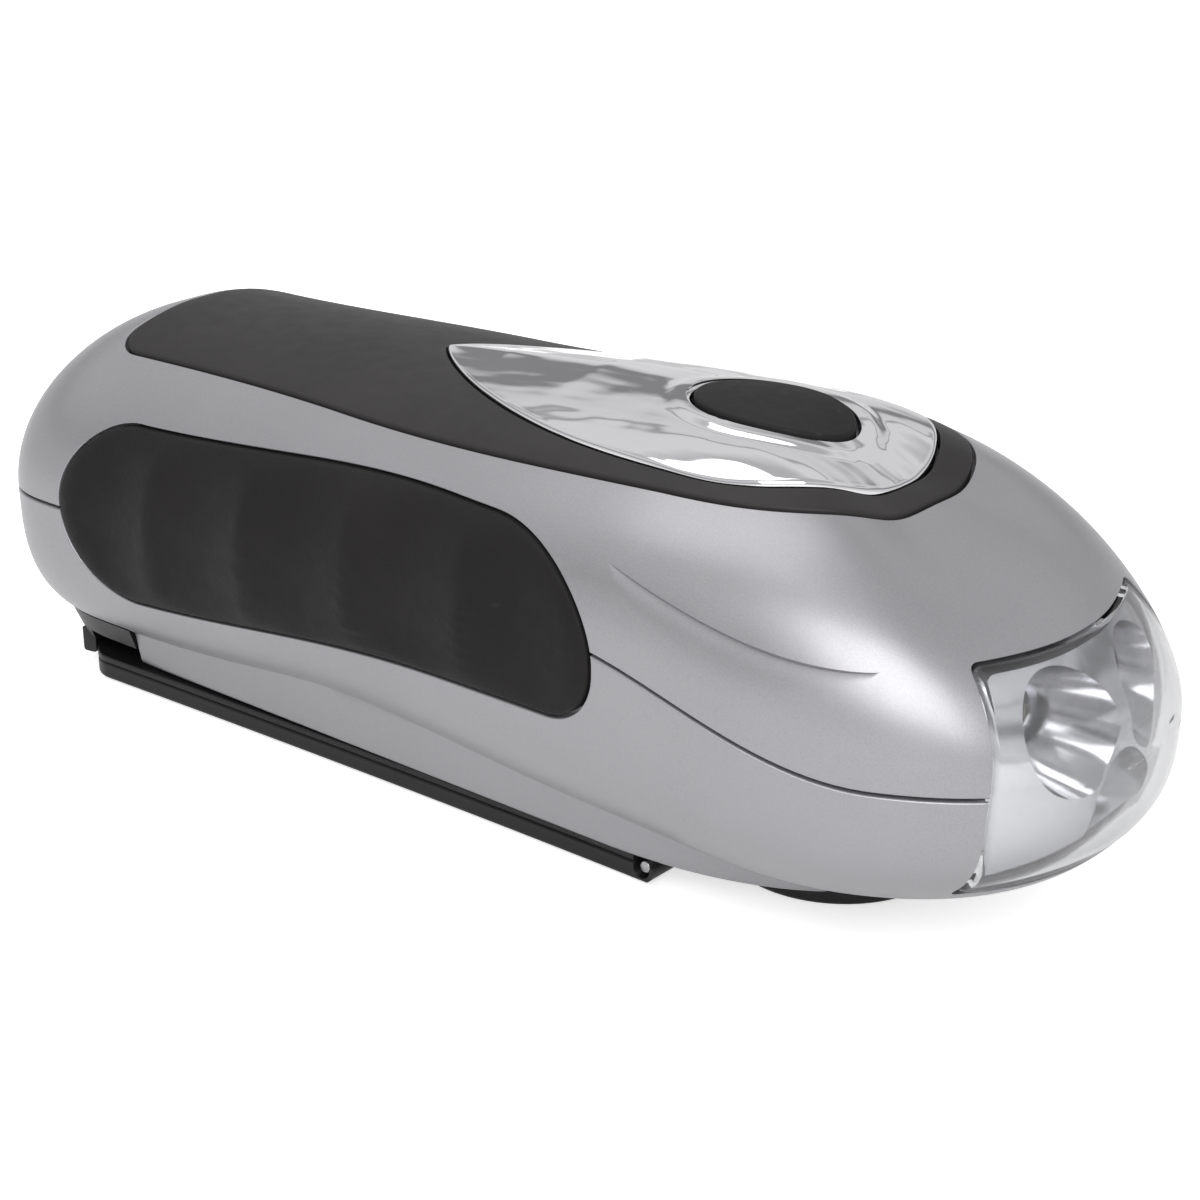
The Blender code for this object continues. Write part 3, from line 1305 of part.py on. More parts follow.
def lever_half(inset, height, front_x):
    """Half outline of the lever from the middle of its front to the middle of its rear arc."""
    half = [(front_x, 0, height)]
    corner_turn = math.asin((LEVER_REAR_HALF_WIDTH - LEVER_CORNER_RADIUS) / lever_reach())
    corner_x = HUB_X - (lever_reach() - LEVER_CORNER_RADIUS) * math.cos(corner_turn)
    for k in range(LEVER_STEPS + 1):
        x = mix(front_x, corner_x, k / LEVER_STEPS)
        half.append((x, lever_half_width(x) - inset, height))
    corner_y = lever_half_width(corner_x) - LEVER_CORNER_RADIUS
    for k in range(1, 5):
        turn = math.pi / 2 * k / 5
        radius = LEVER_CORNER_RADIUS - inset
        half.append((corner_x - radius * math.sin(turn), corner_y + radius * math.cos(turn), height))
    for k in range(LEVER_STEPS + 1):
        turn = corner_turn * (1 - k / LEVER_STEPS)
        radius = lever_reach() - inset
        y = radius * math.sin(turn) if k < LEVER_STEPS else 0
        half.append((HUB_X - radius * math.cos(turn), y, height))
    return half


def make_lever(materials):
    """Forked lever, its winding knob and the knob's rivet."""
    half = LEVER_THICKNESS / 2
    rows = []
    for level, (height, reach) in enumerate(knuckle_levels()):
        inset = LEVER_GROOVE if level == LEVER_GROOVE_LEVEL else max(LEVER_EDGE - height, 0)
        rows.append(whole_loop(lever_half(inset, height, PIN_X + reach)))
    flat = [[(x, 0, z) for x, y, z in row] for row in (rows[0], rows[-1])]
    origin = (PIN_X, 0, half)
    lever = loft("crank_lever", [flat[0], *rows, flat[1]], materials["black"], origin)
    arm = LUG_HALF_WIDTH + GAP
    slot_x = PIN_X - (HUB_X + HUB_RADIUS + HUB_CLEARANCE - PIN_X)
    slot = [(PIN_X + LEVER_THICKNESS, -arm), (slot_x + arm, -arm)]
    slot += arc((slot_x + arm, 0), (arm, arm), math.pi * 1.5, math.pi / 2, 15)[1:-1]
    slot += [(slot_x + arm, arm), (PIN_X + LEVER_THICKNESS, arm)]
    cut(lever, prism("fork_slot", slot, -OVERRUN, LEVER_THICKNESS + OVERRUN))
    reach = PIN_RADIUS + GAP
    for name, side in (("left", 1), ("right", -1)):
        low_y, high_y = sorted((side * (PIN_HALF_LENGTH - PIN_NOTCH), side * MID_HALF_WIDTH))
        corner = (PIN_X + reach, high_y, LEVER_THICKNESS + OVERRUN)
        cut(lever, box("pin_notch_" + name, (PIN_X - reach, low_y, half), corner))
    cut(lever, cylinder("arm_bore", PIN_RADIUS + GAP, -MID_HALF_WIDTH, MID_HALF_WIDTH, (PIN_X, half),
                        axis="Y", steps=16))

    knob_x = HUB_X - knob_orbit()
    mouth = LEVER_THICKNESS + OVERRUN
    well = cylinder("knob_well", KNOB_RADIUS + GAP, KNOB_FLOOR, mouth, (knob_x, 0), steps=28)
    cut(lever, well)
    top = LEVER_THICKNESS + KNOB_PROUD
    low = KNOB_FLOOR + GAP
    head_low = top - RIVET_HEAD - GAP
    profile = [
        (RIVET_HEAD_RADIUS + GAP, top), (KNOB_RADIUS - LEVER_EDGE, top), (KNOB_RADIUS, top - LEVER_EDGE),
        (KNOB_RADIUS, low), (RIVET_RADIUS + GAP, low), (RIVET_RADIUS + GAP, head_low - GAP),
        (RIVET_HEAD_RADIUS + GAP, head_low - GAP),
    ]
    turned("winding_knob", profile, (knob_x, 0, 0), materials["black"], steps=28, ring=True)
    rivet_top = head_low + RIVET_HEAD
    profile = [(0, rivet_top), (RIVET_HEAD_RADIUS, rivet_top), (RIVET_HEAD_RADIUS, head_low),
               (RIVET_RADIUS, head_low), (RIVET_RADIUS, low), (0, low)]
    turned("knob_rivet", profile, (knob_x, 0, 0), materials["steel"], steps=20)
    return lever


def make_materials():
    """Plain colours of the pieces."""
    return {
        "silver": make_material("silver_paint", (0.52, 0.53, 0.55), 0.35, 0.6),
        "black": make_material("black_plastic", (0.03, 0.03, 0.035), 0.45),
        "grip": make_material("grip_rubber", (0.05, 0.045, 0.045), 0.75),
        "inlay": make_material("inlay_rubber", (0.06, 0.055, 0.055), 0.65),
        "chrome": make_material("bezel_chrome", (0.85, 0.85, 0.86), 0.06, 1.0),
        "button": make_material("button_rubber", (0.03, 0.03, 0.03), 0.6),
        "lens": make_material("lens_plastic", (0.92, 0.95, 0.96), 0.05),
        "mirror": make_material("reflector_mirror", (0.9, 0.9, 0.9), 0.05, 1.0),
        "led": make_material("led_resin", (0.9, 0.93, 0.98), 0.08),
        "board": make_material("board_green", (0.05, 0.25, 0.12), 0.5),
        "battery": make_material("battery_sleeve", (0.08, 0.25, 0.45), 0.4),
        "gear": make_material("gear_nylon", (0.85, 0.84, 0.78), 0.5),
        "magnet": make_material("magnet_ferrite", (0.08, 0.08, 0.09), 0.6),
        "steel": make_material("steel", (0.6, 0.6, 0.6), 0.3, 1.0),
        "copper": make_material("coil_copper", (0.6, 0.28, 0.12), 0.35, 1.0),
    }


def main():
    """Build every piece of the torch."""
    materials = make_materials()
    pocket = make_top_trim(materials)
    stem_hole = make_button(materials)
    recesses = make_grips(materials)
    opening = make_front(materials)
    crescents = [crescent_cutter("crescent_left", 1), crescent_cutter("crescent_right", -1)]
    make_upper_shell(materials, [pocket, stem_hole, *recesses, *crescents, opening])
    make_lower_shell(materials, [*recesses, opening])
    make_tail_block(materials)
    make_screws(materials)
    make_electronics(materials)
    make_gears(materials)
    make_hub(materials)
    make_lever(materials)


for old in list(bpy.data.objects):
    bpy.data.objects.remove(old, do_unlink=True)
PIECES, CUTTERS = make_collections()
main()
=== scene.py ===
"""Looks of the hand-crank torch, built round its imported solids.

Metres, +X towards the lens, +Z up, lever and hub resting on z = 0. Every outer surface is a function of
two parameters worked out with numpy on the same plan outline and sections that the solids follow.
"""

import logging
import math
from dataclasses import dataclass, field
from enum import Enum
from typing import Callable, Optional, Sequence, Union

import bmesh
import bpy
import numpy as np
from mathutils import Matrix, Vector

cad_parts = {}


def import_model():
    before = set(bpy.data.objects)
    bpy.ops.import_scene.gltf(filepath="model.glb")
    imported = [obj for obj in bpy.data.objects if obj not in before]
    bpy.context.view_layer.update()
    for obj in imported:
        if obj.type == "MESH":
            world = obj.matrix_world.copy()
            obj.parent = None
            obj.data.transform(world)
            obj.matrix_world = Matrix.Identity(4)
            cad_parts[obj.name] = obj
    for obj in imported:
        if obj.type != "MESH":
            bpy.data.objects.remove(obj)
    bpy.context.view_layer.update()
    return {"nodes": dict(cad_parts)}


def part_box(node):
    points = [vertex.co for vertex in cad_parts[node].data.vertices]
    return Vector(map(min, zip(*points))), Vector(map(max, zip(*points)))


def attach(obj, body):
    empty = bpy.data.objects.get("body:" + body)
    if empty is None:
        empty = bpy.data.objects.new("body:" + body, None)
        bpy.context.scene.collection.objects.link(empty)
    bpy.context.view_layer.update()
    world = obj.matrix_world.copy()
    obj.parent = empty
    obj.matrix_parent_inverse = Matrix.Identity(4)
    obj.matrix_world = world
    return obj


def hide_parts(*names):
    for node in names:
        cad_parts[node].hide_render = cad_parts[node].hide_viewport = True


LOG = logging.getLogger("torch")
Array = np.ndarray
Number = Union[float, Array]
Height = Callable[[Array, Array, Array], Array]
Colour = tuple[float, float, float]
Tree = bpy.types.NodeTree
Socket = bpy.types.NodeSocket

# GAP lies between two pieces, and cutters run OVERRUN past a face. PROBE is the step that finds the skin's
# slope. A corner takes that slope where its level is under SKIN_LEVEL and its face agrees with it by FACING,
# or by BACKING for an inner face.
GAP = 0.0003
OVERRUN = 0.0010
WELD = 0.000001
TINY = 1e-12
QUARTER = math.pi / 2
HALVINGS = 30
PROBE = 0.00003
SKIN_LEVEL = 0.004
FACING = 0.9
BACKING = -0.8
PAD_SHARES = (0, 0.4, 0.7, 0.9, 1)
MOUTH_SHARES = (0, 0.35, 0.7, 1)
WINDOW_SHARES = (0, 0.5, 1)


def mix(start: Number, end: Number, share: Number) -> Number:
    """Straight blend of two values or arrays."""
    return start + (end - start) * share


def ease(share: Number) -> Number:
    """Smooth step 3s^2 - 2s^3 of a share kept between 0 and 1."""
    kept = np.clip(share, 0, 1)
    return kept * kept * (3 - 2 * kept)


def eased(x: Number, start: float, end: float) -> Number:
    """Eased share of the way from start to end."""
    return ease((x - start) / (end - start))


def loop_grid(half: Array) -> Array:
    """Close half loops that start and end on the centre plane by their mirror image.

    Args:
        half: grid of shape (rows, points, values) whose second value is y.

    Returns:
        Grid of whole loops.
    """
    mirrored = half[:, -2:0:-1].copy()
    mirrored[:, :, 1] *= -1
    return np.concatenate([half, mirrored], axis=1)


def steps(count: int, start: float = 0.0, end: float = 1.0) -> Array:
    """Evenly spaced values from start to end, both included."""
    return np.linspace(start, end, count + 1)


def around(count: int) -> Array:
    """Turns of a full circle, none of them on an axis."""
    return (np.arange(count) + 0.5) * 2 * math.pi / count


def superellipse(turn: Array, reach: float, width: float, power: float) -> tuple[Array, Array]:
    """Places reach cos(turn)^(2/p) along X and width sin(turn)^(2/p) across it."""
    return reach * np.cos(turn) ** (2 / power), width * np.sin(turn) ** (2 / power)


def quarter_round(radius: float, count: int = 4) -> list[tuple[float, float]]:
    """Radius times 1 - cos and radius times 1 - sin of the turns from 0 to a right angle."""
    turns = steps(count, 0, QUARTER)
    return [(radius * (1 - math.cos(turn)), radius * (1 - math.sin(turn))) for turn in turns]


def bend(start: Array, tip: Array, end: Array, share: Array) -> Array:
    """Quadratic arc that leaves the start towards the tip and reaches the end from it."""
    return (1 - share) ** 2 * start + 2 * share * (1 - share) * tip + share ** 2 * end


class Side(Enum):
    """Face of the housing that a fitted piece lies on."""

    TOP = "top"
    LEFT = "left"
    RIGHT = "right"
    FRONT = "front"


class Way(Enum):
    """Boolean step between two closed surfaces."""

    CUT = "DIFFERENCE"
    JOIN = "UNION"


@dataclass(frozen=True)
class Housing:
    """Plan outline and superelliptic sections of the two shells, in metres."""

    nose_x: float = 0.0660
    tail_x: float = -0.0660
    front_spine_x: float = 0.0260
    rear_spine_x: float = -0.0490
    waist_x: float = -0.0140
    mid_half_width: float = 0.0252
    rear_half_width: float = 0.0240
    nose_power: float = 2.4
    tail_power: float = 2.9
    high_power_rear: float = 2.0
    high_power_front: float = 2.45
    reach_power_nose: float = 1.2
    reach_power_tail: float = 2.1
    rise_power_nose: float = 2.0
    rise_power_tail: float = 1.9
    low_power_rear: float = 3.0
    low_power_waist: float = 2.25
    low_power_front: float = 2.9
    low_power_nose: float = 3.0
    low_power_tail: float = 3.4
    top: float = 0.0420
    top_waist_drop: float = 0.0013
    top_rear_drop: float = 0.0018
    hull_front: float = 0.0032
    hull_rear: float = 0.0035
    seam_tail: float = 0.0215
    seam_rear: float = 0.0220
    seam_peak: float = 0.0265
    seam_peak_x: float = 0.0210
    seam_nose: float = 0.0196
    seam_nose_x: float = 0.0520
    wall: float = 0.0022
    nose_columns: int = 46
    mid_columns: int = 44
    tail_columns: int = 30
    core_x: float = 0.030
    core_z: float = 0.024
    nose_far: float = 0.040
    side_far: float = 0.030
    top_far: float = 0.020
    fair_rear_x: float = -0.0150
    fair_front_x: float = 0.0410
    fair_half_width: float = 0.0140
    fair_bend_x: float = 0.0250
    fair_reach: float = 0.0165
    fair_width: float = 0.0155
    fair_unit_x: float = 0.030
    fair_unit_y: float = 0.015

    def half_width(self, x: Array) -> Array:
        """Half width between the ends of the spine, eased from the tail's to the middle's."""
        return mix(self.rear_half_width, self.mid_half_width, eased(x, self.rear_spine_x, self.waist_x))

    def spine(self, x: Array) -> Array:
        """Nearest place on the spine."""
        return np.clip(x, self.rear_spine_x, self.front_spine_x)

    def top_z(self, x: Array) -> Array:
        """Crown height over the spine, with eased drops at the waist and at the rear."""
        back = mix(self.top_rear_drop, self.top_waist_drop, eased(x, self.rear_spine_x, self.waist_x))
        ahead = self.top_waist_drop * (1 - eased(x, self.waist_x, self.front_spine_x))
        return self.top - np.where(x < self.waist_x, back, ahead)

    def hull_z(self, x: Array) -> Array:
        """Lowest line of the hull, eased from rear to front."""
        return mix(self.hull_rear, self.hull_front, eased(x, self.rear_spine_x, self.front_spine_x))

    def seam_z(self, x: Array) -> Array:
        """Wavy parting seam: eased from tail to rear, up to its peak, and down to the nose.

        Args:
            x: places along the housing.

        Returns:
            Heights.
        """
        tail = mix(self.seam_rear, self.seam_tail, eased(x, self.rear_spine_x, self.tail_x))
        rise = mix(self.seam_rear, self.seam_peak, eased(x, self.rear_spine_x, self.seam_peak_x))
        fall = mix(self.seam_peak, self.seam_nose, eased(x, self.seam_peak_x, self.seam_nose_x))
        return np.where(x < self.rear_spine_x, tail, np.where(x < self.seam_peak_x, rise, fall))

    def powers(self, x: Array, nose: Array, tail: Array) -> tuple[Array, Array, Array]:
        """Powers of the sections, softest at the waist below, blended to the nose's and the tail's own.

        Args:
            x: places along the housing.
            nose: shares of the nose's powers.
            tail: shares of the tail's powers.

        Returns:
            Powers of the upper section's reach and rise, and of the lower section.
        """
        spine = self.spine(x)
        share = (spine - self.rear_spine_x) / (self.front_spine_x - self.rear_spine_x)
        side = mix(self.high_power_rear, self.high_power_front, share)
        reach = side + (self.reach_power_nose - side) * nose + (self.reach_power_tail - side) * tail
        rise = side + (self.rise_power_nose - side) * nose + (self.rise_power_tail - side) * tail
        rear = mix(self.low_power_rear, self.low_power_waist, eased(spine, self.rear_spine_x, self.waist_x))
        front = mix(self.low_power_waist, self.low_power_front,
                    eased(spine, self.waist_x, self.front_spine_x))
        side = np.where(spine < self.waist_x, rear, front)
        low = side + (self.low_power_nose - side) * nose + (self.low_power_tail - side) * tail
        return reach, rise, low
    def half_outline(self, inset: float = 0.0) -> Array:
        """Half plan outline from nose to tail: superelliptic ends joined by the eased middle.

        Args:
            inset: distance that the outline is drawn in.

        Returns:
            Array of shape (points, 4) with x, y, nose share and tail share.
        """
        turn = steps(self.nose_columns, 0, QUARTER)[:-1]
        along, across = superellipse(turn, self.nose_x - self.front_spine_x - inset,
                                     self.mid_half_width - inset, self.nose_power)
        share, zero = ease(np.cos(turn) ** 2), np.zeros_like(turn)
        front = np.column_stack([self.front_spine_x + along, across, share, zero])
        middle_x = steps(self.mid_columns, self.front_spine_x, self.rear_spine_x)
        zero = np.zeros_like(middle_x)
        middle = np.column_stack([middle_x, self.half_width(middle_x) - inset, zero, zero])
        turn = steps(self.tail_columns, QUARTER, 0)[1:]
        along, across = superellipse(turn, self.rear_spine_x - self.tail_x - inset,
                                     self.rear_half_width - inset, self.tail_power)
        share, zero = ease(np.cos(turn) ** 2), np.zeros_like(turn)
        rear = np.column_stack([self.rear_spine_x - along, across, zero, share])
        return np.concatenate([front, middle, rear])

    def rows(self, turns: Array, inset: float, upper: bool) -> Array:
        """Loops of the skin at turns from the seam, 0, to the crown or keel, a right angle.

        Reach from the spine is cos(turn)^(2/p) and rise from the seam is sin(turn)^(2/q).

        Args:
            turns: one turn for each loop.
            inset: distance that the skin is drawn in.
            upper: upper skin, or else the lower one.

        Returns:
            Grid of whole loops, shape (rows, points, 3).
        """
        x, y, nose, tail = self.half_outline(inset).T
        turn = turns[:, None]
        reach_power, rise_power, low_power = self.powers(x, nose, tail)
        if not upper:
            reach_power = rise_power = low_power
        reach = np.abs(np.cos(turn)) ** (2 / reach_power)
        reach = np.where(turn > QUARTER - WELD, 0, reach)
        rise = np.sin(turn) ** (2 / rise_power)
        spine = self.spine(x)
        far = self.top_z(spine) - inset if upper else self.hull_z(spine) + inset
        height = mix(self.seam_z(x), far, rise)
        return loop_grid(np.stack([mix(spine, x, reach), y * reach, height], axis=-1))

    def edge_rows(self, shift: float, fillet: float) -> Array:
        """Closing line and rounded edge at the seam, as loops from the centre plane outwards.

        Args:
            shift: height of the edge over the seam, below it where negative.
            fillet: radius of the rounded edge.

        Returns:
            Grid of whole loops.
        """
        way = math.copysign(1, shift)
        x, y, _, _ = self.half_outline(fillet).T
        found = [np.column_stack([x, y * 0, self.seam_z(x) + shift])]
        for rise, draw in quarter_round(fillet):
            x, y, _, _ = self.half_outline(draw).T
            found.append(np.column_stack([x, y, self.seam_z(x) + shift + way * rise]))
        return loop_grid(np.stack(found))

    def level(self, points: Array) -> Array:
        """Skin function: reach^p + rise^q - 1, below zero inside and zero on the skin.

        Args:
            points: points, shape (..., 3).

        Returns:
            Values, shape (...).
        """
        x, y, z = np.moveaxis(points, -1, 0)
        front, rear = x > self.front_spine_x, x < self.rear_spine_x
        ahead = np.abs((x - self.front_spine_x) / (self.nose_x - self.front_spine_x))
        behind = np.abs((self.rear_spine_x - x) / (self.rear_spine_x - self.tail_x))
        along = np.where(front, ahead ** self.nose_power, np.where(rear, behind ** self.tail_power, 0))
        width = np.where(front, self.mid_half_width, np.where(rear, self.rear_half_width, self.half_width(x)))
        power = np.where(front, self.nose_power, np.where(rear, self.tail_power, 1.0))
        across = (np.abs(y) / width) ** power
        total = np.maximum(along + across, TINY)
        reach = np.maximum(total ** (1 / power), TINY)
        spine = self.spine(x)
        edge_x = spine + (x - spine) / reach
        nose = np.where(front, ease(along / total), 0)
        tail = np.where(rear, ease(along / total), 0)
        reach_power, rise_power, low_power = self.powers(edge_x, nose, tail)
        seam, top, hull = self.seam_z(edge_x), self.top_z(spine), self.hull_z(spine)
        above = reach ** reach_power + np.maximum((z - seam) / (top - seam), 0) ** rise_power
        below = reach ** low_power + np.maximum((seam - z) / (seam - hull), 0) ** low_power
        return np.where(z >= seam, above, below) - 1

    def slope(self, points: Array) -> Array:
        """Outward unit normals at points, from central differences of the skin function."""
        found = [self.level(points + axis) - self.level(points - axis) for axis in np.eye(3) * PROBE]
        normal = np.stack(found, axis=-1)
        return normal / np.maximum(np.linalg.norm(normal, axis=-1, keepdims=True), TINY)

    def meet(self, start: Array, way: Array, far: float) -> Array:
        """Distance from inside points along a way to the skin, found by halving.

        Args:
            start: points inside, shape (..., 3).
            way: unit direction, shape (3,).
            far: a distance that is outside for every point.

        Returns:
            Distances, shape (...).
        """
        low = np.zeros(start.shape[:-1])
        high = np.full(start.shape[:-1], far)
        for _ in range(HALVINGS):
            middle = (low + high) / 2
            inside = self.level(start + middle[..., None] * way) < 0
            low, high = np.where(inside, middle, low), np.where(inside, high, middle)
        return low

    def fair_top(self, x: Array, y: Array) -> Array:
        """Crown round the button as one polynomial in x and even powers of y, by least squares.

        Args:
            x: places along the housing.
            y: places across it.

        Returns:
            Heights.
        """
        def basis(x: Array, y: Array) -> Array:
            """Powers 0 to 5 of x times powers 0, 2 and 4 of y."""
            along, across = x / self.fair_unit_x, y / self.fair_unit_y
            return np.stack([along ** i * across ** j for i in range(6) for j in (0, 2, 4)], -1)

        sample_x, sample_y = np.meshgrid(steps(50, self.fair_rear_x, self.fair_front_x),
                                         steps(24, 0.0, self.fair_half_width), indexing="ij")
        ahead = np.maximum(sample_x - self.fair_bend_x, 0) / self.fair_reach
        inside = (sample_y / self.fair_width) ** 2 + ahead ** 2 < 1
        sample_x, sample_y = sample_x[inside], sample_y[inside]
        height = self.fit(Side.TOP, sample_x, sample_y, np.zeros_like(sample_x))[:, 2]
        factors = np.linalg.lstsq(basis(sample_x, sample_y), height, rcond=None)[0]
        return basis(x, y) @ factors

    def fit(self, side: Side, a: Array, b: Array, lift: Array) -> Array:
        """Points on one side of the housing, lifted off its skin.

        The skin is met along +Z on top, along +Y or -Y on the flanks and along +X at the front.

        Args:
            side: the side.
            a: x on top and on the flanks, y at the front.
            b: y on top, z on the flanks and at the front.
            lift: distance outwards from the skin.

        Returns:
            Points, with the shape of a and a last axis of three.
        """
        zero = np.zeros_like(a)
        if side is Side.TOP:
            start = np.stack([a, b, zero + self.core_z], -1)
            height = self.core_z + self.meet(start, np.array([0, 0, 1.0]), self.top_far)
            return np.stack([a, b, height + lift], -1)
        if side is Side.FRONT:
            start = np.stack([zero + self.core_x, a, b], -1)
            ahead = self.core_x + self.meet(start, np.array([1.0, 0, 0]), self.nose_far)
            return np.stack([ahead + lift, a, b], -1)
        way = 1.0 if side is Side.LEFT else -1.0
        reach = self.meet(np.stack([a, zero, b], -1), np.array([0, way, 0]), self.side_far)
        return np.stack([a, way * (reach + lift), b], -1)


HOUSING = Housing()


@dataclass(frozen=True)
class Ring:
    """Ring of a fitted piece: share and growth of its outline, lift off the skin, ceiling and fair shares."""

    share: float
    grow: float
    lift: float
    ceiling: float = 0.0
    fair: float = 0.0


def rim_rings(depth: float, edge: float, fillet: float, spread: Sequence[float],
              fair: float = 0.0) -> list[Ring]:
    """Rings of a pad: floor from its middle, wall, quarter-round edge, and face to its middle.

    Args:
        depth: depth of the floor.
        edge: lift of the face's edge.
        fillet: radius of that edge.
        spread: shares of the face's rings, falling from 1.
        fair: share of the fair crown, not the skin, under edge and face.

    Returns:
        Rings in order.
    """
    rings = [Ring(share, 0, -depth) for share in PAD_SHARES]
    rings += [Ring(1, -draw, edge - drop, 0, fair) for draw, drop in quarter_round(fillet)]
    rings += [Ring(share, -fillet, edge, 1, fair) for share in spread]
    return rings


def mouth_rings(grow: float, depth: float, flare: float,
                spread: Sequence[float] = MOUTH_SHARES) -> list[Ring]:
    """Rings of a pocket cutter whose mouth flares in a quarter round where it meets the skin.

    Args:
        grow: clearance round the outline.
        depth: depth of the floor.
        flare: radius of the mouth.
        spread: shares of the floor's rings, rising to 1.

    Returns:
        Rings in order.
    """
    rings = [Ring(share, grow, -depth) for share in spread]
    rings += [Ring(1, grow + draw, -drop) for draw, drop in quarter_round(flare)]
    rings += [Ring(share, grow + flare, OVERRUN) for share in reversed(spread)]
    return rings


def fitted_grid(side: Side, outline: Callable[[float], Array], rings: Sequence[Ring],
                ceiling: Optional[Height] = None) -> Array:
    """Grid of a piece fitted to the housing: each ring is the outline shrunk towards its middle line.

    Args:
        side: side of the housing.
        outline: function of a growth that gives a, b, middle a and middle b for each point.
        rings: the rings in order.
        ceiling: extra lift of a ring by a, b and share, where the ring asks for it.

    Returns:
        Points, shape (rings, points, 3).
    """
    lines = np.stack([outline(ring.grow) for ring in rings])
    share = np.array([ring.share for ring in rings])[:, None]
    lift = np.array([ring.lift for ring in rings])[:, None]
    weight = np.array([ring.ceiling for ring in rings])[:, None]
    a = mix(lines[..., 2], lines[..., 0], share)
    b = mix(lines[..., 3], lines[..., 1], share)
    lift = lift + np.zeros_like(a)
    if ceiling is not None:
        lift = lift + weight * ceiling(a, b, share + np.zeros_like(a))
    points = HOUSING.fit(side, a, b, lift)
    fair = np.array([ring.fair for ring in rings])[:, None]
    if fair.any():
        points[..., 2] = mix(points[..., 2], HOUSING.fair_top(a, b) + lift, fair)
    return points


def lathe_grid(profile: Array, centre: Sequence[float], count: int, along_x: bool = False) -> Array:
    """Surface of revolution: each profile point of radius and height sweeps a full turn.

    Args:
        profile: radius and height of each row, shape (rows, 2).
        centre: point where the axis has height zero.
        count: columns round the axis.
        along_x: axis along +X, or else along +Z.

    Returns:
        Points, shape (rows, count, 3).
    """
    turn = around(count)
    radius, height = profile[:, :1], profile[:, 1:] + np.zeros(count)
    one, other = radius * np.cos(turn), radius * np.sin(turn)
    parts = [height, one, other] if along_x else [one, other, height]
    return np.stack(parts, -1) + np.array(centre)


def rounded(points: Sequence[tuple[float, float]], radii: Sequence[float], count: int = 4) -> Array:
    """Profile whose corners are replaced by quadratic arcs, each as long as its radius allows.

    Args:
        points: corners of the profile.
        radii: one radius for each corner, zero for a sharp one.
        count: steps of each arc.

    Returns:
        Points, shape (n, 2).
    """
    corner = np.array(points, float)
    found = []
    for index, radius in enumerate(radii):
        here = corner[index]
        if radius == 0 or index in (0, len(corner) - 1):
            found.append(here[None])
            continue
        back, ahead = corner[index - 1] - here, corner[index + 1] - here
        start = here + back / np.linalg.norm(back) * radius
        end = here + ahead / np.linalg.norm(ahead) * radius
        found.append(bend(start, here, end, steps(count)[:, None]))
    return np.concatenate(found)


def weld(mesh: bpy.types.Mesh, outwards: bool = False) -> bpy.types.Mesh:
    """Merge doubled points and take out faces without area.

    Args:
        mesh: the mesh, changed in place.
        outwards: turn the faces outwards too.

    Returns:
        The mesh.
    """
    bm = bmesh.new()
    bm.from_mesh(mesh)
    bmesh.ops.remove_doubles(bm, verts=bm.verts, dist=WELD)
    bmesh.ops.dissolve_degenerate(bm, edges=bm.edges, dist=WELD)
    if outwards:
        bmesh.ops.recalc_face_normals(bm, faces=bm.faces)
        if bm.calc_volume(signed=True) < 0:
            bmesh.ops.reverse_faces(bm, faces=bm.faces)
    bm.to_mesh(mesh)
    bm.free()
    return mesh


def grid_mesh(name: str, grid: Array, ring: bool = False) -> bpy.types.Mesh:
    """Closed mesh over rows of loops. First and last rows fall together, or join where ring is set.

    Args:
        name: name of the mesh.
        grid: points, shape (rows, columns, 3).
        ring: last row joins the first one.

    Returns:
        Welded mesh with faces turned outwards.
    """
    rows, columns, _ = grid.shape
    row = np.arange(rows if ring else rows - 1)[:, None]
    column = np.arange(columns)[None, :]
    ahead = (column + 1) % columns
    above = (row + 1) % rows
    faces = np.stack([row * columns + column, row * columns + ahead, above * columns + ahead,
                      above * columns + column], -1).reshape(-1, 4)
    mesh = bpy.data.meshes.new(name)
    mesh.from_pydata(grid.reshape(-1, 3).tolist(), [], faces.tolist())
    return weld(mesh, outwards=True)


def prism_mesh(name: str, outline: Array, low: float, high: float) -> bpy.types.Mesh:
    """Upright prism over an outline: a wall of quads and two flat caps.

    Args:
        name: name of the mesh.
        outline: points of a whole loop in x and y, anticlockwise, shape (n, 2).
        low: lower level.
        high: upper level.

    Returns:
        Closed mesh with faces turned outwards.
    """
    count = len(outline)
    points = np.concatenate([np.column_stack([outline, np.full(count, level)]) for level in (low, high)])
    here = np.arange(count)
    ahead = (here + 1) % count
    wall = np.column_stack([here, ahead, ahead + count, here + count])
    mesh = bpy.data.meshes.new(name)
    mesh.from_pydata(points.tolist(), [], wall.tolist() + [here[::-1].tolist(), (here + count).tolist()])
    return mesh


def circle(radius: float, centre: Sequence[float], count: int) -> Array:
    """Points of a circle, anticlockwise, none of them on its axes."""
    turn = around(count)
    return np.column_stack([centre[0] + radius * np.cos(turn), centre[1] + radius * np.sin(turn)])


def values(items: Sequence, name: str, width: int = 1, kind: type = float) -> Array:
    """One property of many items of a mesh, with a row for each item where the width is over one."""
    found = np.empty(len(items) * width, kind)
    items.foreach_get(name, found)
    return found.reshape(-1, width) if width > 1 else found


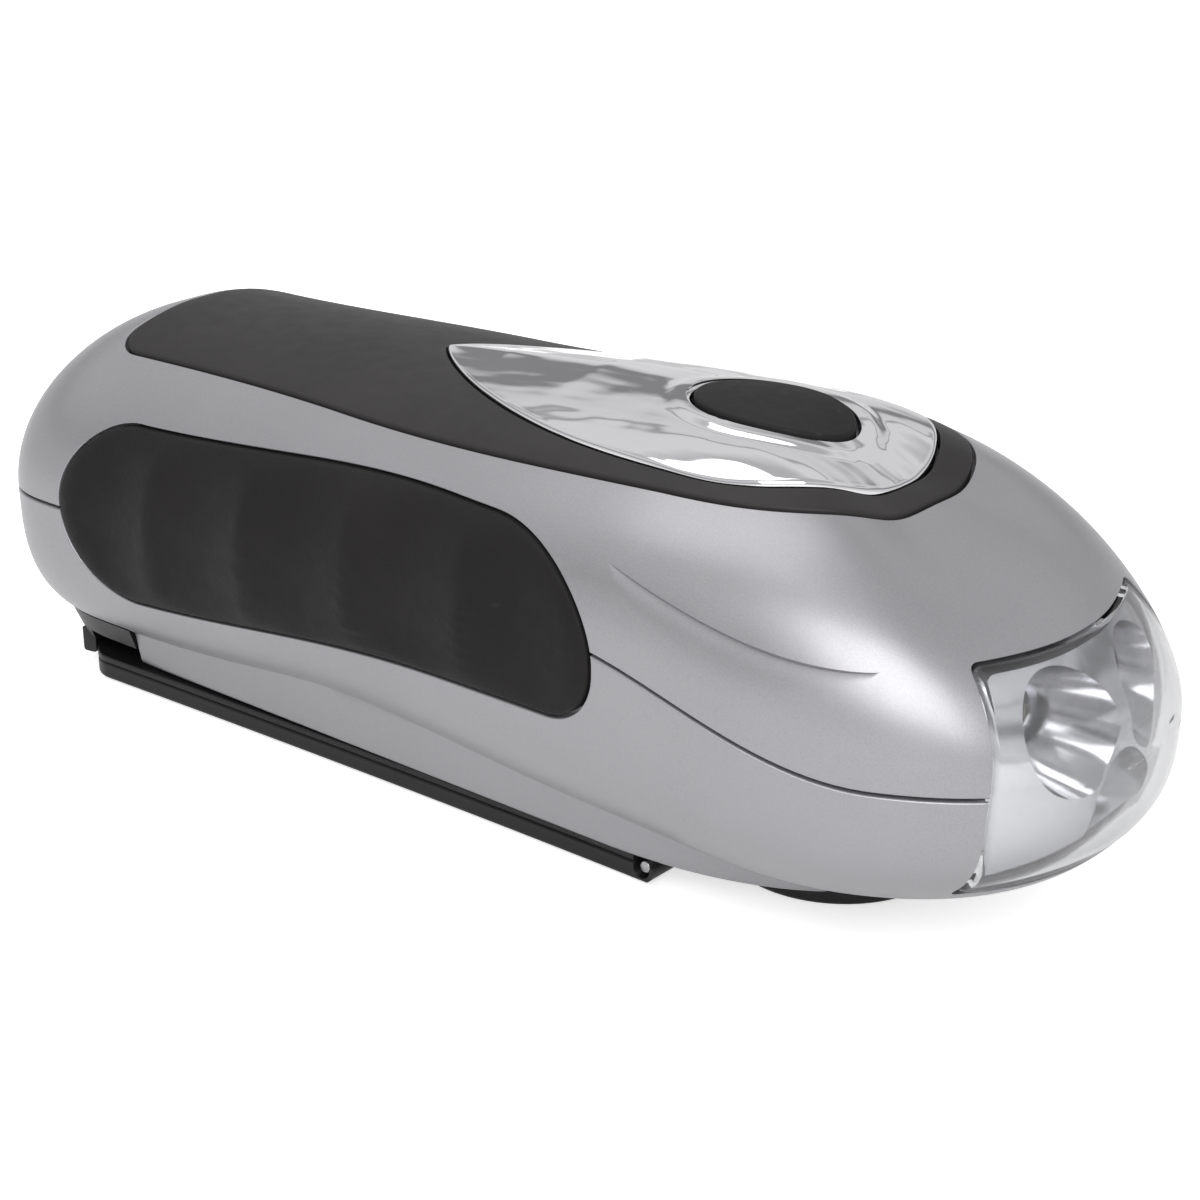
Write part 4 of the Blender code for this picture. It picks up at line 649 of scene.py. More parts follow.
class Piece:
    """A mesh object in the making, with the steps that cut, dress and place it."""

    def __init__(self, name: str, mesh: bpy.types.Mesh) -> None:
        """Link a new object for a mesh.

        Args:
            name: name of the piece.
            mesh: its mesh, in the frame's place.
        """
        self.body = bpy.data.objects.new(name, mesh)
        bpy.context.scene.collection.objects.link(self.body)

    @classmethod
    def of(cls, name: str, grid: Array, ring: bool = False) -> "Piece":
        """Piece over a grid of points."""
        return cls(name, grid_mesh(name, grid, ring))

    @classmethod
    def stack(cls, name: str, rows: Sequence[Array]) -> "Piece":
        """Piece over half loops, mirrored, and closed by a flat face at either end."""
        ends = [row * [1, 0, 1] for row in (rows[0], rows[-1])]
        return cls.of(name, loop_grid(np.stack([ends[0], *rows, ends[1]])))

    def change(self, way: Way, *others: "Piece") -> "Piece":
        """Exact Boolean with other pieces, which are used up.

        Args:
            way: cut or join.
            others: closed pieces.

        Returns:
            This piece.
        """
        for other in others:
            step = self.body.modifiers.new(way.value, "BOOLEAN")
            step.operation = way.value
            step.solver = "EXACT"
            step.object = other.body
            self.settle()
            mesh = other.body.data
            bpy.data.objects.remove(other.body)
            bpy.data.meshes.remove(mesh)
        return self

    def settle(self) -> None:
        """Store the result of the modifiers in the mesh."""
        graph = bpy.context.evaluated_depsgraph_get()
        mesh = bpy.data.meshes.new_from_object(self.body.evaluated_get(graph))
        self.body.modifiers.clear()
        self.body.data = weld(mesh)

    def smooth(self, angle: float = 32.0, skin: bool = False, lining: bool = False) -> "Piece":
        """Smooth shading with sharp edges past an angle, and exact normals on the housing's skin.

        Args:
            angle: least angle of a sharp edge, in degrees.
            skin: give corners that lie on the skin the normal of the skin function.
            lining: give faces that look inwards its opposite too.

        Returns:
            This piece.
        """
        mesh = self.body.data
        mesh.shade_smooth()
        mesh.set_sharp_from_angle(angle=math.radians(angle))
        if skin:
            index = values(mesh.loops, "vertex_index", kind=int)
            place = values(mesh.vertices, "co", 3)
            normal = values(mesh.corner_normals, "vector", 3)
            slope = HOUSING.slope(place)[index]
            near = np.abs(HOUSING.level(place))[index] < SKIN_LEVEL
            sizes = values(mesh.polygons, "loop_total", kind=int)
            own = np.repeat(values(mesh.polygons, "normal", 3), sizes, axis=0)
            facing = np.einsum("ij,ij->i", own, slope)
            near &= facing > FACING
            normal[near] = slope[near]
            if lining:
                inner = facing < BACKING
                normal[inner] = -slope[inner]
            mesh.normals_split_custom_set(normal.tolist())
        return self

    def dress(self, finish: "Finish", slot: str, ride: str, *nodes: str) -> "Piece":
        """Give the finish and the body that it moves with, and hide the nodes that it stands for.

        Args:
            finish: finish of the whole piece.
            slot: name of a material slot; not used.
            ride: name of the body.
            nodes: names of the nodes that it replaces.

        Returns:
            This piece.
        """
        self.body.data.materials.clear()
        self.body.data.materials.append(finish.material())
        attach(self.body, ride)
        if nodes:
            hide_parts(*nodes)
        LOG.info("%s: %d faces", self.body.name, len(self.body.data.polygons))
        return self


def plug(node: bpy.types.Node, inputs: dict) -> bpy.types.Node:
    """Fill inputs of a node: a socket is linked, and any other value is set.

    Args:
        node: the node.
        inputs: socket or value for each input.

    Returns:
        The node.
    """
    for name, value in inputs.items():
        if isinstance(value, Socket):
            node.id_data.links.new(value, node.inputs[name])
        else:
            node.inputs[name].default_value = value
    return node


def add(tree: Tree, kind: str, inputs: dict) -> bpy.types.Node:
    """New shader node of a kind, with its inputs filled."""
    return plug(tree.nodes.new("ShaderNode" + kind), inputs)


def noise(tree: Tree, place: Socket, scale: float, detail: float) -> Socket:
    """Noise of a scale in features to the metre."""
    return add(tree, "TexNoise", {"Vector": place, "Scale": scale, "Detail": detail}).outputs["Fac"]


def ranged(tree: Tree, value: Socket, low: float, high: float, start: float = 0.0,
           end: float = 1.0) -> Socket:
    """Value that runs from low to high while another one runs from start to end, and stays there."""
    limits = {"From Min": start, "From Max": end, "To Min": low, "To Max": high}
    return add(tree, "MapRange", {"Value": value, **limits}).outputs["Result"]


def reckoned(tree: Tree, operation: str, first: Socket, second: Socket) -> Socket:
    """Two values put together by a Math node's operation."""
    node = add(tree, "Math", {0: first, 1: second})
    node.operation = operation
    return node.outputs["Value"]


def tinted(tree: Tree, share: Socket, colour: Socket, other: Colour) -> Socket:
    """Colour that gives way to another one by a share."""
    node = tree.nodes.new("ShaderNodeMix")
    node.data_type = "RGBA"
    return plug(node, {"Factor": share, "A": colour, "B": (*other, 1)}).outputs["Result"]


def bumped(tree: Tree, height: Socket, depth: float) -> Socket:
    """Normal that follows a height, whose whole range stands for a depth in metres."""
    return add(tree, "Bump", {"Height": height, "Distance": depth}).outputs["Normal"]
@dataclass(frozen=True)
class Finish:
    """Moulded, painted or rubber surface with patches, grain and worn edges."""

    name: str
    colour: Colour
    roughness: float
    metallic: float = 0.0
    patch: float = 0.06
    patch_scale: float = 45.0
    patch_edges: tuple[float, float] = (0.35, 0.65)
    grain_scale: float = 2600.0
    grain_depth: float = 0.000012
    roughness_spread: float = 0.08
    least_roughness: float = 0.02
    smear_ratio: float = 9.0
    wear: float = 0.25
    wear_colour: Colour = (0.6, 0.6, 0.6)
    wear_edges: tuple[float, float] = (0.53, 0.66)
    wear_ratio: float = 14.0
    specular: float = 0.5
    coat: float = 0.0
    coat_roughness: float = 0.1
    sheen: float = 0.0
    fleck: float = 0.0
    fleck_scale: float = 7000.0

    def material(self) -> bpy.types.Material:
        """Shader of this finish, made once."""
        found = bpy.data.materials.get(self.name)
        if found is None:
            found = bpy.data.materials.new(self.name)
            found.use_nodes = True
            self.wire(found.node_tree)
        return found

    def wire(self, tree: Tree) -> None:
        """Connect the shader's nodes.

        Colour is the base mixed with a lighter and darker one by large noise and with the wear colour on
        raised edges. Roughness follows a middle noise. Bump follows a fine noise.

        Args:
            tree: node tree with the default shader.
        """
        place = tree.nodes.new("ShaderNodeTexCoord").outputs["Object"]
        patches = noise(tree, place, self.patch_scale, 4)
        if self.fleck > 0:
            patches = self.flecked(tree, patches, place)
        colour = self.patched(tree, patches)
        if self.wear > 0:
            colour = self.worn(tree, colour, place)
        smears = noise(tree, place, self.patch_scale * self.smear_ratio, 3)
        low = max(self.roughness - self.roughness_spread, self.least_roughness)
        high = min(self.roughness + self.roughness_spread, 1)
        plug(tree.nodes["Principled BSDF"], {
            "Base Color": colour, "Roughness": ranged(tree, smears, low, high),
            "Normal": self.relief(tree, place), "Metallic": self.metallic,
            "Specular IOR Level": self.specular, "Coat Weight": self.coat,
            "Coat Roughness": self.coat_roughness, "Sheen Weight": self.sheen})

    def shade(self, factor: float) -> tuple[float, float, float, float]:
        """Base colour times a factor."""
        return tuple(min(part * factor, 1) for part in self.colour) + (1,)

    def flecked(self, tree: Tree, patches: Socket, place: Socket) -> Socket:
        """Patches with a very fine noise added round zero, as metal flakes in paint."""
        fine = ranged(tree, noise(tree, place, self.fleck_scale, 1), -self.fleck, self.fleck)
        return reckoned(tree, "ADD", patches, fine)

    def patched(self, tree: Tree, patches: Socket) -> Socket:
        """Base colour, darker below the middle of the patches and lighter above it."""
        ramp = add(tree, "ValToRGB", {"Fac": patches})
        low, high = ramp.color_ramp.elements[0], ramp.color_ramp.elements[1]
        low.position, high.position = self.patch_edges
        low.color, high.color = self.shade(1 - self.patch), self.shade(1 + self.patch)
        return ramp.outputs["Color"]

    def worn(self, tree: Tree, colour: Socket, place: Socket) -> Socket:
        """Colour with the wear colour where the surface is raised and a broken noise allows it.

        Args:
            tree: node tree.
            colour: colour of the sound surface.
            place: coordinates.

        Returns:
            The colour.
        """
        raised = tree.nodes.new("ShaderNodeNewGeometry").outputs["Pointiness"]
        edge = ranged(tree, raised, 0.0, self.wear, *self.wear_edges)
        broken = noise(tree, place, self.patch_scale * self.wear_ratio, 5)
        return tinted(tree, reckoned(tree, "MULTIPLY", edge, broken), colour, self.wear_colour)

    def relief(self, tree: Tree, place: Socket) -> Socket:
        """Bump from a fine noise."""
        return bumped(tree, noise(tree, place, self.grain_scale, 2), self.grain_depth)


@dataclass(frozen=True)
class ChromeFinish(Finish):
    """Bright plating over moulded plastic, with long soft ripples that bend its reflections."""

    ripple_scale: float = 70.0
    ripple_depth: float = 0.00012
    ripple_stretch: tuple[float, float, float] = (0.45, 1.5, 1.0)

    def relief(self, tree: Tree, place: Socket) -> Socket:
        """Bump from a stretched soft noise, as sink marks under thin plating are."""
        stretch = add(tree, "Mapping", {"Vector": place, "Scale": self.ripple_stretch})
        return bumped(tree, noise(tree, stretch.outputs["Vector"], self.ripple_scale, 1), self.ripple_depth)
@dataclass(frozen=True)
class ClearFinish(Finish):
    """Clear moulded plastic with faint flow waves, fine scratches and painted shade where it is seen at a
    slant.
    """

    ior: float = 1.49
    transmission: float = 1.0
    # The rim blend and rim colour are painted shade: a greyer colour where the surface is seen at a slant.
    slant_shade_blend: float = 0.45
    slant_shade_colour: Colour = (0.5, 0.5, 0.52)

    def wire(self, tree: Tree) -> None:
        """Connect a transmitting shader whose colour is painted greyer where it is seen at a slant: painted
        shade.

        Args:
            tree: node tree with the default shader.
        """
        super().wire(tree)
        shader = tree.nodes["Principled BSDF"]
        # Painted shade: the colour turns towards the rim colour where the face is seen at a slant.
        slant = add(tree, "LayerWeight", {"Blend": self.slant_shade_blend}).outputs["Facing"]
        plain = shader.inputs["Base Color"].links[0].from_socket
        plug(shader, {"Base Color": tinted(tree, slant, plain, self.slant_shade_colour),
                      "Transmission Weight": self.transmission, "IOR": self.ior})


@dataclass(frozen=True)
class BandedFinish(Finish):
    """Surface with fine parallel lines: wound wire, turned or drawn metal, or printed tracks."""

    band_scale: float = 900.0
    band_axis: str = "X"
    band_depth: float = 0.00003
    waver: float = 0.6

    def relief(self, tree: Tree, place: Socket) -> Socket:
        """Bump from straight bands along one axis."""
        wave = add(tree, "TexWave", {"Vector": place, "Scale": self.band_scale, "Distortion": self.waver})
        wave.bands_direction = self.band_axis
        return bumped(tree, wave.outputs["Fac"], self.band_depth)


SILVER = Finish("silver_metallic_paint", (0.35, 0.345, 0.36), 0.36, metallic=0.6, patch=0.05,
                patch_scale=30.0, grain_scale=5200.0, grain_depth=0.000006, roughness_spread=0.04, wear=0.2,
                wear_colour=(0.55, 0.55, 0.56), coat=0.15, coat_roughness=0.25, fleck=0.5)
GRIP = Finish("grip_rubber_matt", (0.0100, 0.0088, 0.0093), 0.66, patch=0.16, patch_scale=60.0,
              grain_scale=3200.0, grain_depth=0.00003, wear=0.3, wear_colour=(0.06, 0.056, 0.056),
              specular=0.22, sheen=0.015)
INLAY = Finish("inlay_rubber_satin", (0.024, 0.0218, 0.0218), 0.52, patch=0.10, patch_scale=50.0,
               grain_scale=3600.0, grain_depth=0.000018, wear=0.25, wear_colour=(0.09, 0.085, 0.085),
               specular=0.28)
CHROME = ChromeFinish("chrome_plating", (0.74, 0.73, 0.745), 0.06, metallic=1.0, patch=0.02,
                      roughness_spread=0.02, wear=0.0, ripple_scale=240.0, ripple_depth=0.00013)
BUTTON = Finish("button_rubber_matt", (0.012, 0.0108, 0.0112), 0.62, patch=0.14, patch_scale=90.0,
                grain_scale=4200.0, grain_depth=0.000016, wear=0.3, wear_colour=(0.07, 0.07, 0.07),
                specular=0.22)
# The lens's rim colour is painted shade: dark grey where the lens is seen at a slant.
LENS = ClearFinish("lens_clear_polished", (0.93, 0.935, 0.945), 0.02, patch=0.005, grain_scale=120.0,
                   grain_depth=0.00003, roughness_spread=0.012, wear=0.0, slant_shade_colour=(0.20, 0.20, 0.21))
MIRROR = ChromeFinish("reflector_bright", (0.90, 0.90, 0.915), 0.13, metallic=0.85, patch=0.02,
                      ripple_scale=420.0, ripple_depth=0.00003, roughness_spread=0.03, wear=0.0)
# The resin's rim colour is painted shade: light grey where the dome is seen at a slant.
RESIN = ClearFinish("led_clear_resin", (0.95, 0.955, 0.965), 0.03, patch=0.005, grain_scale=400.0,
                    grain_depth=0.000004, roughness_spread=0.02, wear=0.0, ior=1.5,
                    slant_shade_colour=(0.7, 0.7, 0.72))
PHOSPHOR = Finish("led_phosphor", (0.80, 0.77, 0.60), 0.5, patch=0.12, patch_scale=900.0, wear=0.0)
BLACK = Finish("black_plastic_satin", (0.011, 0.0102, 0.0112), 0.38, patch=0.12, patch_scale=55.0,
               grain_scale=3800.0, grain_depth=0.000010, wear=0.35, wear_colour=(0.09, 0.09, 0.092),
               specular=0.35)
STEEL = BandedFinish("steel_turned", (0.50, 0.50, 0.51), 0.26, metallic=1.0, patch=0.06, patch_scale=200.0,
                     wear=0.3, wear_colour=(0.8, 0.8, 0.8), band_scale=1500.0, band_axis="Z",
                     band_depth=0.000006)
BOARD = Finish("board_solder_mask", (0.03, 0.16, 0.07), 0.42, patch=0.25, patch_scale=500.0,
               grain_scale=900.0, grain_depth=0.00002, wear=0.2, wear_colour=(0.5, 0.42, 0.2))
SLEEVE = BandedFinish("battery_shrink_sleeve", (0.05, 0.17, 0.36), 0.34, patch=0.08, patch_scale=120.0,
                      wear=0.25, band_scale=260.0, band_axis="X", band_depth=0.00004)
NYLON = Finish("gear_nylon_moulded", (0.80, 0.79, 0.72), 0.48, patch=0.05, patch_scale=160.0, wear=0.15,
               wear_colour=(0.55, 0.53, 0.48))
FERRITE = Finish("magnet_ferrite_sintered", (0.06, 0.06, 0.065), 0.55, metallic=0.3, patch=0.25,
                 patch_scale=700.0, grain_scale=1800.0, grain_depth=0.00003)
IRON = BandedFinish("stator_iron_sheets", (0.42, 0.41, 0.40), 0.36, metallic=1.0, patch=0.12,
                    patch_scale=160.0, band_scale=1100.0, band_axis="Z", band_depth=0.00005)
COPPER = BandedFinish("coil_enamelled_wire", (0.62, 0.25, 0.10), 0.30, metallic=0.85, patch=0.14,
                      patch_scale=300.0, band_scale=1300.0, band_axis="Z", band_depth=0.00007)


@dataclass
class Crescent:
    """Crescent relief of a shoulder: a wedge with one crisp upper wall that runs out at both ends."""

    rear_x: float = 0.0255
    front_x: float = 0.0510
    rear_share: float = 0.516
    front_share: float = 0.446
    bow: float = 0.0003
    power: float = 0.7
    foot: float = 0.0013
    depth: float = 0.0011
    height: float = 0.0042
    lift: float = 0.0002
    columns: int = 64

    def cutter(self, side: Side) -> Piece:
        """Wedge between the upper edge over the skin, the wall's foot in it and the lower edge.

        Args:
            side: left or right.

        Returns:
            The cutter.
        """
        share = steps(self.columns)
        wave = np.sin(math.pi * share)
        swell = np.clip(wave, 0, 1) ** self.power
        x = mix(self.rear_x, self.front_x, share)
        level = mix(self.rear_share, self.front_share, share)
        high = mix(HOUSING.seam_z(x), HOUSING.top, level) - self.bow * wave
        rim = HOUSING.fit(side, x, high, OVERRUN * swell)
        deep = HOUSING.fit(side, x, high - self.foot * swell, -self.depth * swell)
        edge = HOUSING.fit(side, x, high - self.height * swell, self.lift * swell)
        return Piece.of("crescent", np.stack([rim, deep, edge], axis=1))


@dataclass
class Shells:
    """Upper and lower silver shells with every pocket that the other pieces sit in."""

    seam_fillet: float = 0.00022
    mouth_fillet: float = 0.00022
    opening_depth: float = 0.0105
    first_turn: float = 0.045
    turn_power: float = 1.15
    upper_turns: int = 40
    lower_turns: int = 38
    platform_z: float = 0.0030
    platform_low: float = 0.0040
    platform_top: float = 0.0130
    platform_fillet: float = 0.0005
    platform_half: float = 0.0178
    platform_pinch: float = 0.0005
    platform_pinch_length: float = 0.0150
    platform_bend_x: float = 0.0200
    platform_front_x: float = 0.0480
    platform_power: float = 2.2
    platform_columns: int = 40
    draft: float = 0.26
    rear_draft: float = 0.08

    def turns(self, count: int) -> Array:
        """Turns from just past the seam to a right angle, closer together near the seam."""
        return QUARTER * mix(self.first_turn, 1, steps(count) ** self.turn_power)

    def solid(self, name: str, upper: bool, inset: float, shift: float) -> Piece:
        """Full half of the housing, from the seam to the crown or keel, with a sharp edge where drawn in.

        Args:
            name: name of the piece.
            upper: upper half, or else the lower one.
            inset: distance that the skin is drawn in.
            shift: height of its edge over the seam.

        Returns:
            The half.
        """
        count = self.upper_turns if upper else self.lower_turns
        edge = self.plain_edge(inset, shift) if inset else HOUSING.edge_rows(shift, self.seam_fillet)
        rows = HOUSING.rows(self.turns(count), inset, upper)
        return Piece.of(name, np.concatenate([edge, rows]))

    def plain_edge(self, inset: float, shift: float) -> Array:
        """Closing line and sharp edge of an inner solid, at a shift over the seam."""
        x, y, _, _ = HOUSING.half_outline(inset).T
        edge = np.column_stack([x, y, HOUSING.seam_z(x) + shift])
        return loop_grid(np.stack([edge * [1, 0, 1], edge]))

    def platform(self) -> Piece:
        """Drafted platform: half width grows with height, less at its square rear than at its round front."""
        rear = Tail().rear_wall_x()
        turn = steps(self.platform_columns, 0, QUARTER)[:-1]
        side_x = steps(self.platform_columns, self.platform_bend_x, rear)
        away = ease((side_x - rear) / self.platform_pinch_length)
        side_half = self.platform_half - self.platform_pinch * (1 - away)
        rows = []
        for height, inset in self.platform_levels():
            rise = height - self.platform_z
            grow = self.draft * rise - inset
            along, across = superellipse(turn, self.platform_front_x - self.platform_bend_x + grow,
                                         self.platform_half + grow, self.platform_power)
            side_y = side_half + mix(self.rear_draft, self.draft, away) * rise - inset
            x = np.concatenate([self.platform_bend_x + along, side_x, [rear]])
            y = np.concatenate([across, side_y, [0]])
            rows.append(np.column_stack([x, y, np.full_like(x, height)]))
        return Piece.stack("platform", rows)

    def platform_levels(self) -> list[tuple[float, float]]:
        """Heights of the platform's rows and how far its rounded foot draws them in."""
        foot = reversed(quarter_round(self.platform_fillet, 5))
        rows = [(self.platform_z + drop, draw) for draw, drop in foot]
        return rows + [(height, 0.0) for height in steps(6, self.platform_low, self.platform_top)]

    def lens_opening(self) -> Piece:
        """Opening for the lens: its outline pulled along X, flared where it meets the skin."""
        rings = mouth_rings(GAP, self.opening_depth, self.mouth_fillet, steps(12))
        return Piece.of("lens_opening", fitted_grid(Side.FRONT, Front().outline, rings))

    def build(self) -> None:
        """Make and dress both shells."""
        grips, trim, crescent = Grips(), TopTrim(), Crescent()
        sides = (Side.LEFT, Side.RIGHT)
        upper = self.solid("silver_upper_shell", True, 0, GAP / 2)
        hollow = self.solid("upper_hollow", True, HOUSING.wall, -OVERRUN)
        upper.change(Way.CUT, hollow, trim.pocket(), trim.stem_hole(),
                     *[grips.recess(side) for side in sides],
                     *[crescent.cutter(side) for side in sides], self.lens_opening())
        upper.smooth(skin=True).dress(SILVER, "silver_paint", "housing", "upper_shell")

        lower = self.solid("silver_lower_shell", False, 0, -GAP / 2)
        lower.change(Way.JOIN, self.platform())
        tail, screws = Tail(), Screws()
        hollow = self.solid("lower_hollow", False, HOUSING.wall, OVERRUN)
        hollow.change(Way.CUT, *screws.bosses(), tail.floor_stock())
        lower.change(Way.CUT, *screws.counterbores(), *Crank().bores(), hollow)
        lower.change(Way.CUT, *[grips.recess(side) for side in sides], self.lens_opening(), tail.step())
        lower.smooth(skin=True).dress(SILVER, "silver_paint", "housing", "lower_shell")


@dataclass
class Screws:
    """Four housing screws and their bores."""

    rear: tuple[float, float] = (-0.0410, 0.0140)
    front: tuple[float, float] = (0.0440, 0.0122)
    shank_radius: float = 0.0011
    head_radius: float = 0.0021
    head: float = 0.0013
    bite: float = 0.0070
    shelf_drop: float = 0.0030
    boss_radius: float = 0.0035
    recess_arm: float = 0.0013
    recess_width: float = 0.00026
    recess_depth: float = 0.0008
    recess_turn: float = 0.4
    recess_flare: float = 1.1
    recess_taper: float = 0.45
    fillets: tuple[float, ...] = (0, 0.0006, 0.0001, 0, 0.0003, 0)

    def places(self) -> list[tuple[float, float]]:
        """Centres of the four screws."""
        return [(x, side * y) for x, y in (self.rear, self.front) for side in (1, -1)]

    def shelf(self, x: float) -> float:
        """Height that a head bears on."""
        return float(HOUSING.seam_z(np.array(x))) - GAP / 2 - self.shelf_drop

    def bosses(self) -> list[Piece]:
        """Columns that stay solid round each screw."""
        return [self.column("boss", self.boss_radius, 0.0, HOUSING.top, place, 48) for place in self.places()]

    def counterbores(self) -> list[Piece]:
        """Bores for the heads and the shanks."""
        found = []
        for place in self.places():
            shelf = self.shelf(place[0])
            found.append(self.column("counterbore", self.head_radius + GAP, -OVERRUN, shelf, place, 64))
            found.append(self.column("shank_bore", self.shank_radius + GAP, 0, HOUSING.top, place, 32))
        return found

    def column(self, name: str, radius: float, low: float, high: float, place: tuple[float, float],
               count: int) -> Piece:
        """Upright round column between two levels."""
        return Piece(name, prism_mesh(name, circle(radius, place, count), low, high))

    def cross(self, place: tuple[float, float], low: float) -> list[Piece]:
        """Cross recess of a head: two tapered bars.

        Args:
            place: centre of the screw.
            low: level of the head's end.

        Returns:
            The cutters.
        """
        levels = ((low - OVERRUN, self.recess_arm * self.recess_flare), (low, self.recess_arm),
                  (low + self.recess_depth, self.recess_arm * self.recess_taper))
        found = []
        for turn in (self.recess_turn, self.recess_turn + QUARTER):
            way = np.array([math.cos(turn), math.sin(turn)])
            side = np.array([-way[1], way[0]]) * self.recess_width
            rows = []
            for height, arm in levels:
                corners = [way * arm + side, side - way * arm, -way * arm - side, way * arm - side]
                rows.append(np.column_stack([np.array(place) + corners, np.full(4, height)]))
            ends = [np.tile([*place, row[0, 2]], (4, 1)) for row in (rows[0], rows[-1])]
            found.append(Piece.of("cross", np.stack([ends[0], *rows, ends[1]])))
        return found

    def build(self) -> None:
        """Turned screws with rounded heads and cross recesses."""
        for number, (x, y) in enumerate(self.places(), start=1):
            shelf = self.shelf(x)
            low = shelf - GAP - self.head
            top = shelf + self.shelf_drop + self.bite
            profile = rounded([(0, low), (self.head_radius, low), (self.head_radius, shelf - GAP),
                               (self.shank_radius, shelf - GAP), (self.shank_radius, top), (0, top)],
                              self.fillets, 6)
            screw = Piece.of("silver_screw_%d" % number, lathe_grid(profile, (x, y, 0), 64))
            screw.change(Way.CUT, *self.cross((x, y), low))
            screw.smooth(40).dress(STEEL, "steel", "housing", "housing_screw_%d" % number)


@dataclass
class Grips:
    """Rubber side grips with finger scallops, in recesses of both shells."""

    rear_x: float = -0.0494
    front_x: float = 0.0250
    rear_radius: float = 0.0105
    upper_radius: float = 0.0140
    lower_radius: float = 0.0055
    rear_half_height: float = 0.0092
    front_half_height: float = 0.0081
    front_straight: float = 0.0006
    rear_z: float = 0.0226
    front_z: float = 0.0269
    bend_x: float = 0.0060
    depth: float = 0.0011
    proud: float = 0.00073
    edge_proud: float = 0.0001
    face_spare: float = 0.00002
    crown_power: int = 8
    fade_power: int = 4
    fillet: float = 0.0003
    mouth_fillet: float = 0.00022
    spread_power: float = 1.6
    scallops: int = 5
    scallop_depth: float = 0.00115
    columns: int = 44

    def centre_z(self, x: Array) -> Array:
        """Height of the middle line."""
        return mix(self.rear_z, self.front_z, eased(x, self.rear_x, self.bend_x))

    def half_height(self, x: Array) -> Array:
        """Half height, a little taller at the rear."""
        return mix(self.rear_half_height, self.front_half_height, eased(x, self.rear_x, self.front_x))

    def outline(self, grow: float) -> Array:
        """Side outline: half ellipse at the rear, eased long edges and two unlike corners at the front.

        Args:
            grow: growth all round.

        Returns:
            Array of x, z, middle x and middle z.
        """
        rear_x = self.rear_x + self.rear_radius
        upper_x = self.front_x - self.upper_radius
        lower_x = self.front_x - self.lower_radius
        rear_z = float(self.centre_z(rear_x))
        turn = steps(self.columns, math.pi * 1.5, QUARTER)
        rear = np.column_stack([rear_x + (self.rear_radius + grow) * np.cos(turn),
                                rear_z + (float(self.half_height(rear_x)) + grow) * np.sin(turn),
                                np.full_like(turn, rear_x)])
        x = steps(self.columns, rear_x, upper_x)[1:-1]
        above = np.column_stack([x, self.centre_z(x) + self.half_height(x) + grow, x])
        top = float(self.centre_z(upper_x) + self.half_height(upper_x))
        base = float(self.centre_z(lower_x) - self.half_height(lower_x))
        drop = top - base - self.lower_radius - self.front_straight
        turn = steps(28, QUARTER, 0)
        front = np.column_stack([upper_x + (self.upper_radius + grow) * np.cos(turn),
                                 top - drop + (drop + grow) * np.sin(turn)])
        turn = steps(16, 0, -QUARTER)
        corner = np.column_stack([lower_x + (self.lower_radius + grow) * np.cos(turn),
                                  base + self.lower_radius + (self.lower_radius + grow) * np.sin(turn)])
        front = np.concatenate([front, corner])
        front = np.column_stack([front, np.full(len(front), upper_x)])
        share = steps(self.columns)[1:-1]
        x = mix(lower_x, rear_x, share)
        middle_x = mix(upper_x, rear_x, share)
        below = np.column_stack([x, self.centre_z(x) - self.half_height(x) - grow, middle_x])
        whole = np.concatenate([rear, above, front, below])
        return np.column_stack([whole, self.centre_z(whole[:, 2])])

    def face(self, x: Array, z: Array, share: Array) -> Array:
        """Lift of the face over its edge: a crowned pad less the scallops, which fade out to its edge.

        Args:
            x: places along the grip.
            z: heights, unused.
            share: shares of the outline.

        Returns:
            Lifts.
        """
        pitch = (self.front_x - self.rear_x) / self.scallops
        wave = np.abs(np.sin(math.pi * (x - self.rear_x) / pitch))
        crown = (self.proud - self.edge_proud - self.face_spare) * (1 - share ** self.crown_power)
        return crown - self.scallop_depth * wave * (1 - share ** self.fade_power)

    def recess(self, side: Side) -> Piece:
        """Cutter of the recess, with a rounded mouth."""
        rings = mouth_rings(GAP, self.depth + GAP, self.mouth_fillet)
        return Piece.of("grip_recess", fitted_grid(side, self.outline, rings))

    def build(self) -> None:
        """Both grips."""
        spread = 1 - steps(self.columns)[1:] ** self.spread_power
        rings = rim_rings(self.depth, self.edge_proud, self.fillet, spread)
        for name, side in (("left", Side.LEFT), ("right", Side.RIGHT)):
            grid = fitted_grid(side, self.outline, rings, self.face)
            grip = Piece.of("scalloped_grip_" + name, grid)
            grip.smooth(30).dress(GRIP, "grip_rubber", "housing", "grip_" + name)


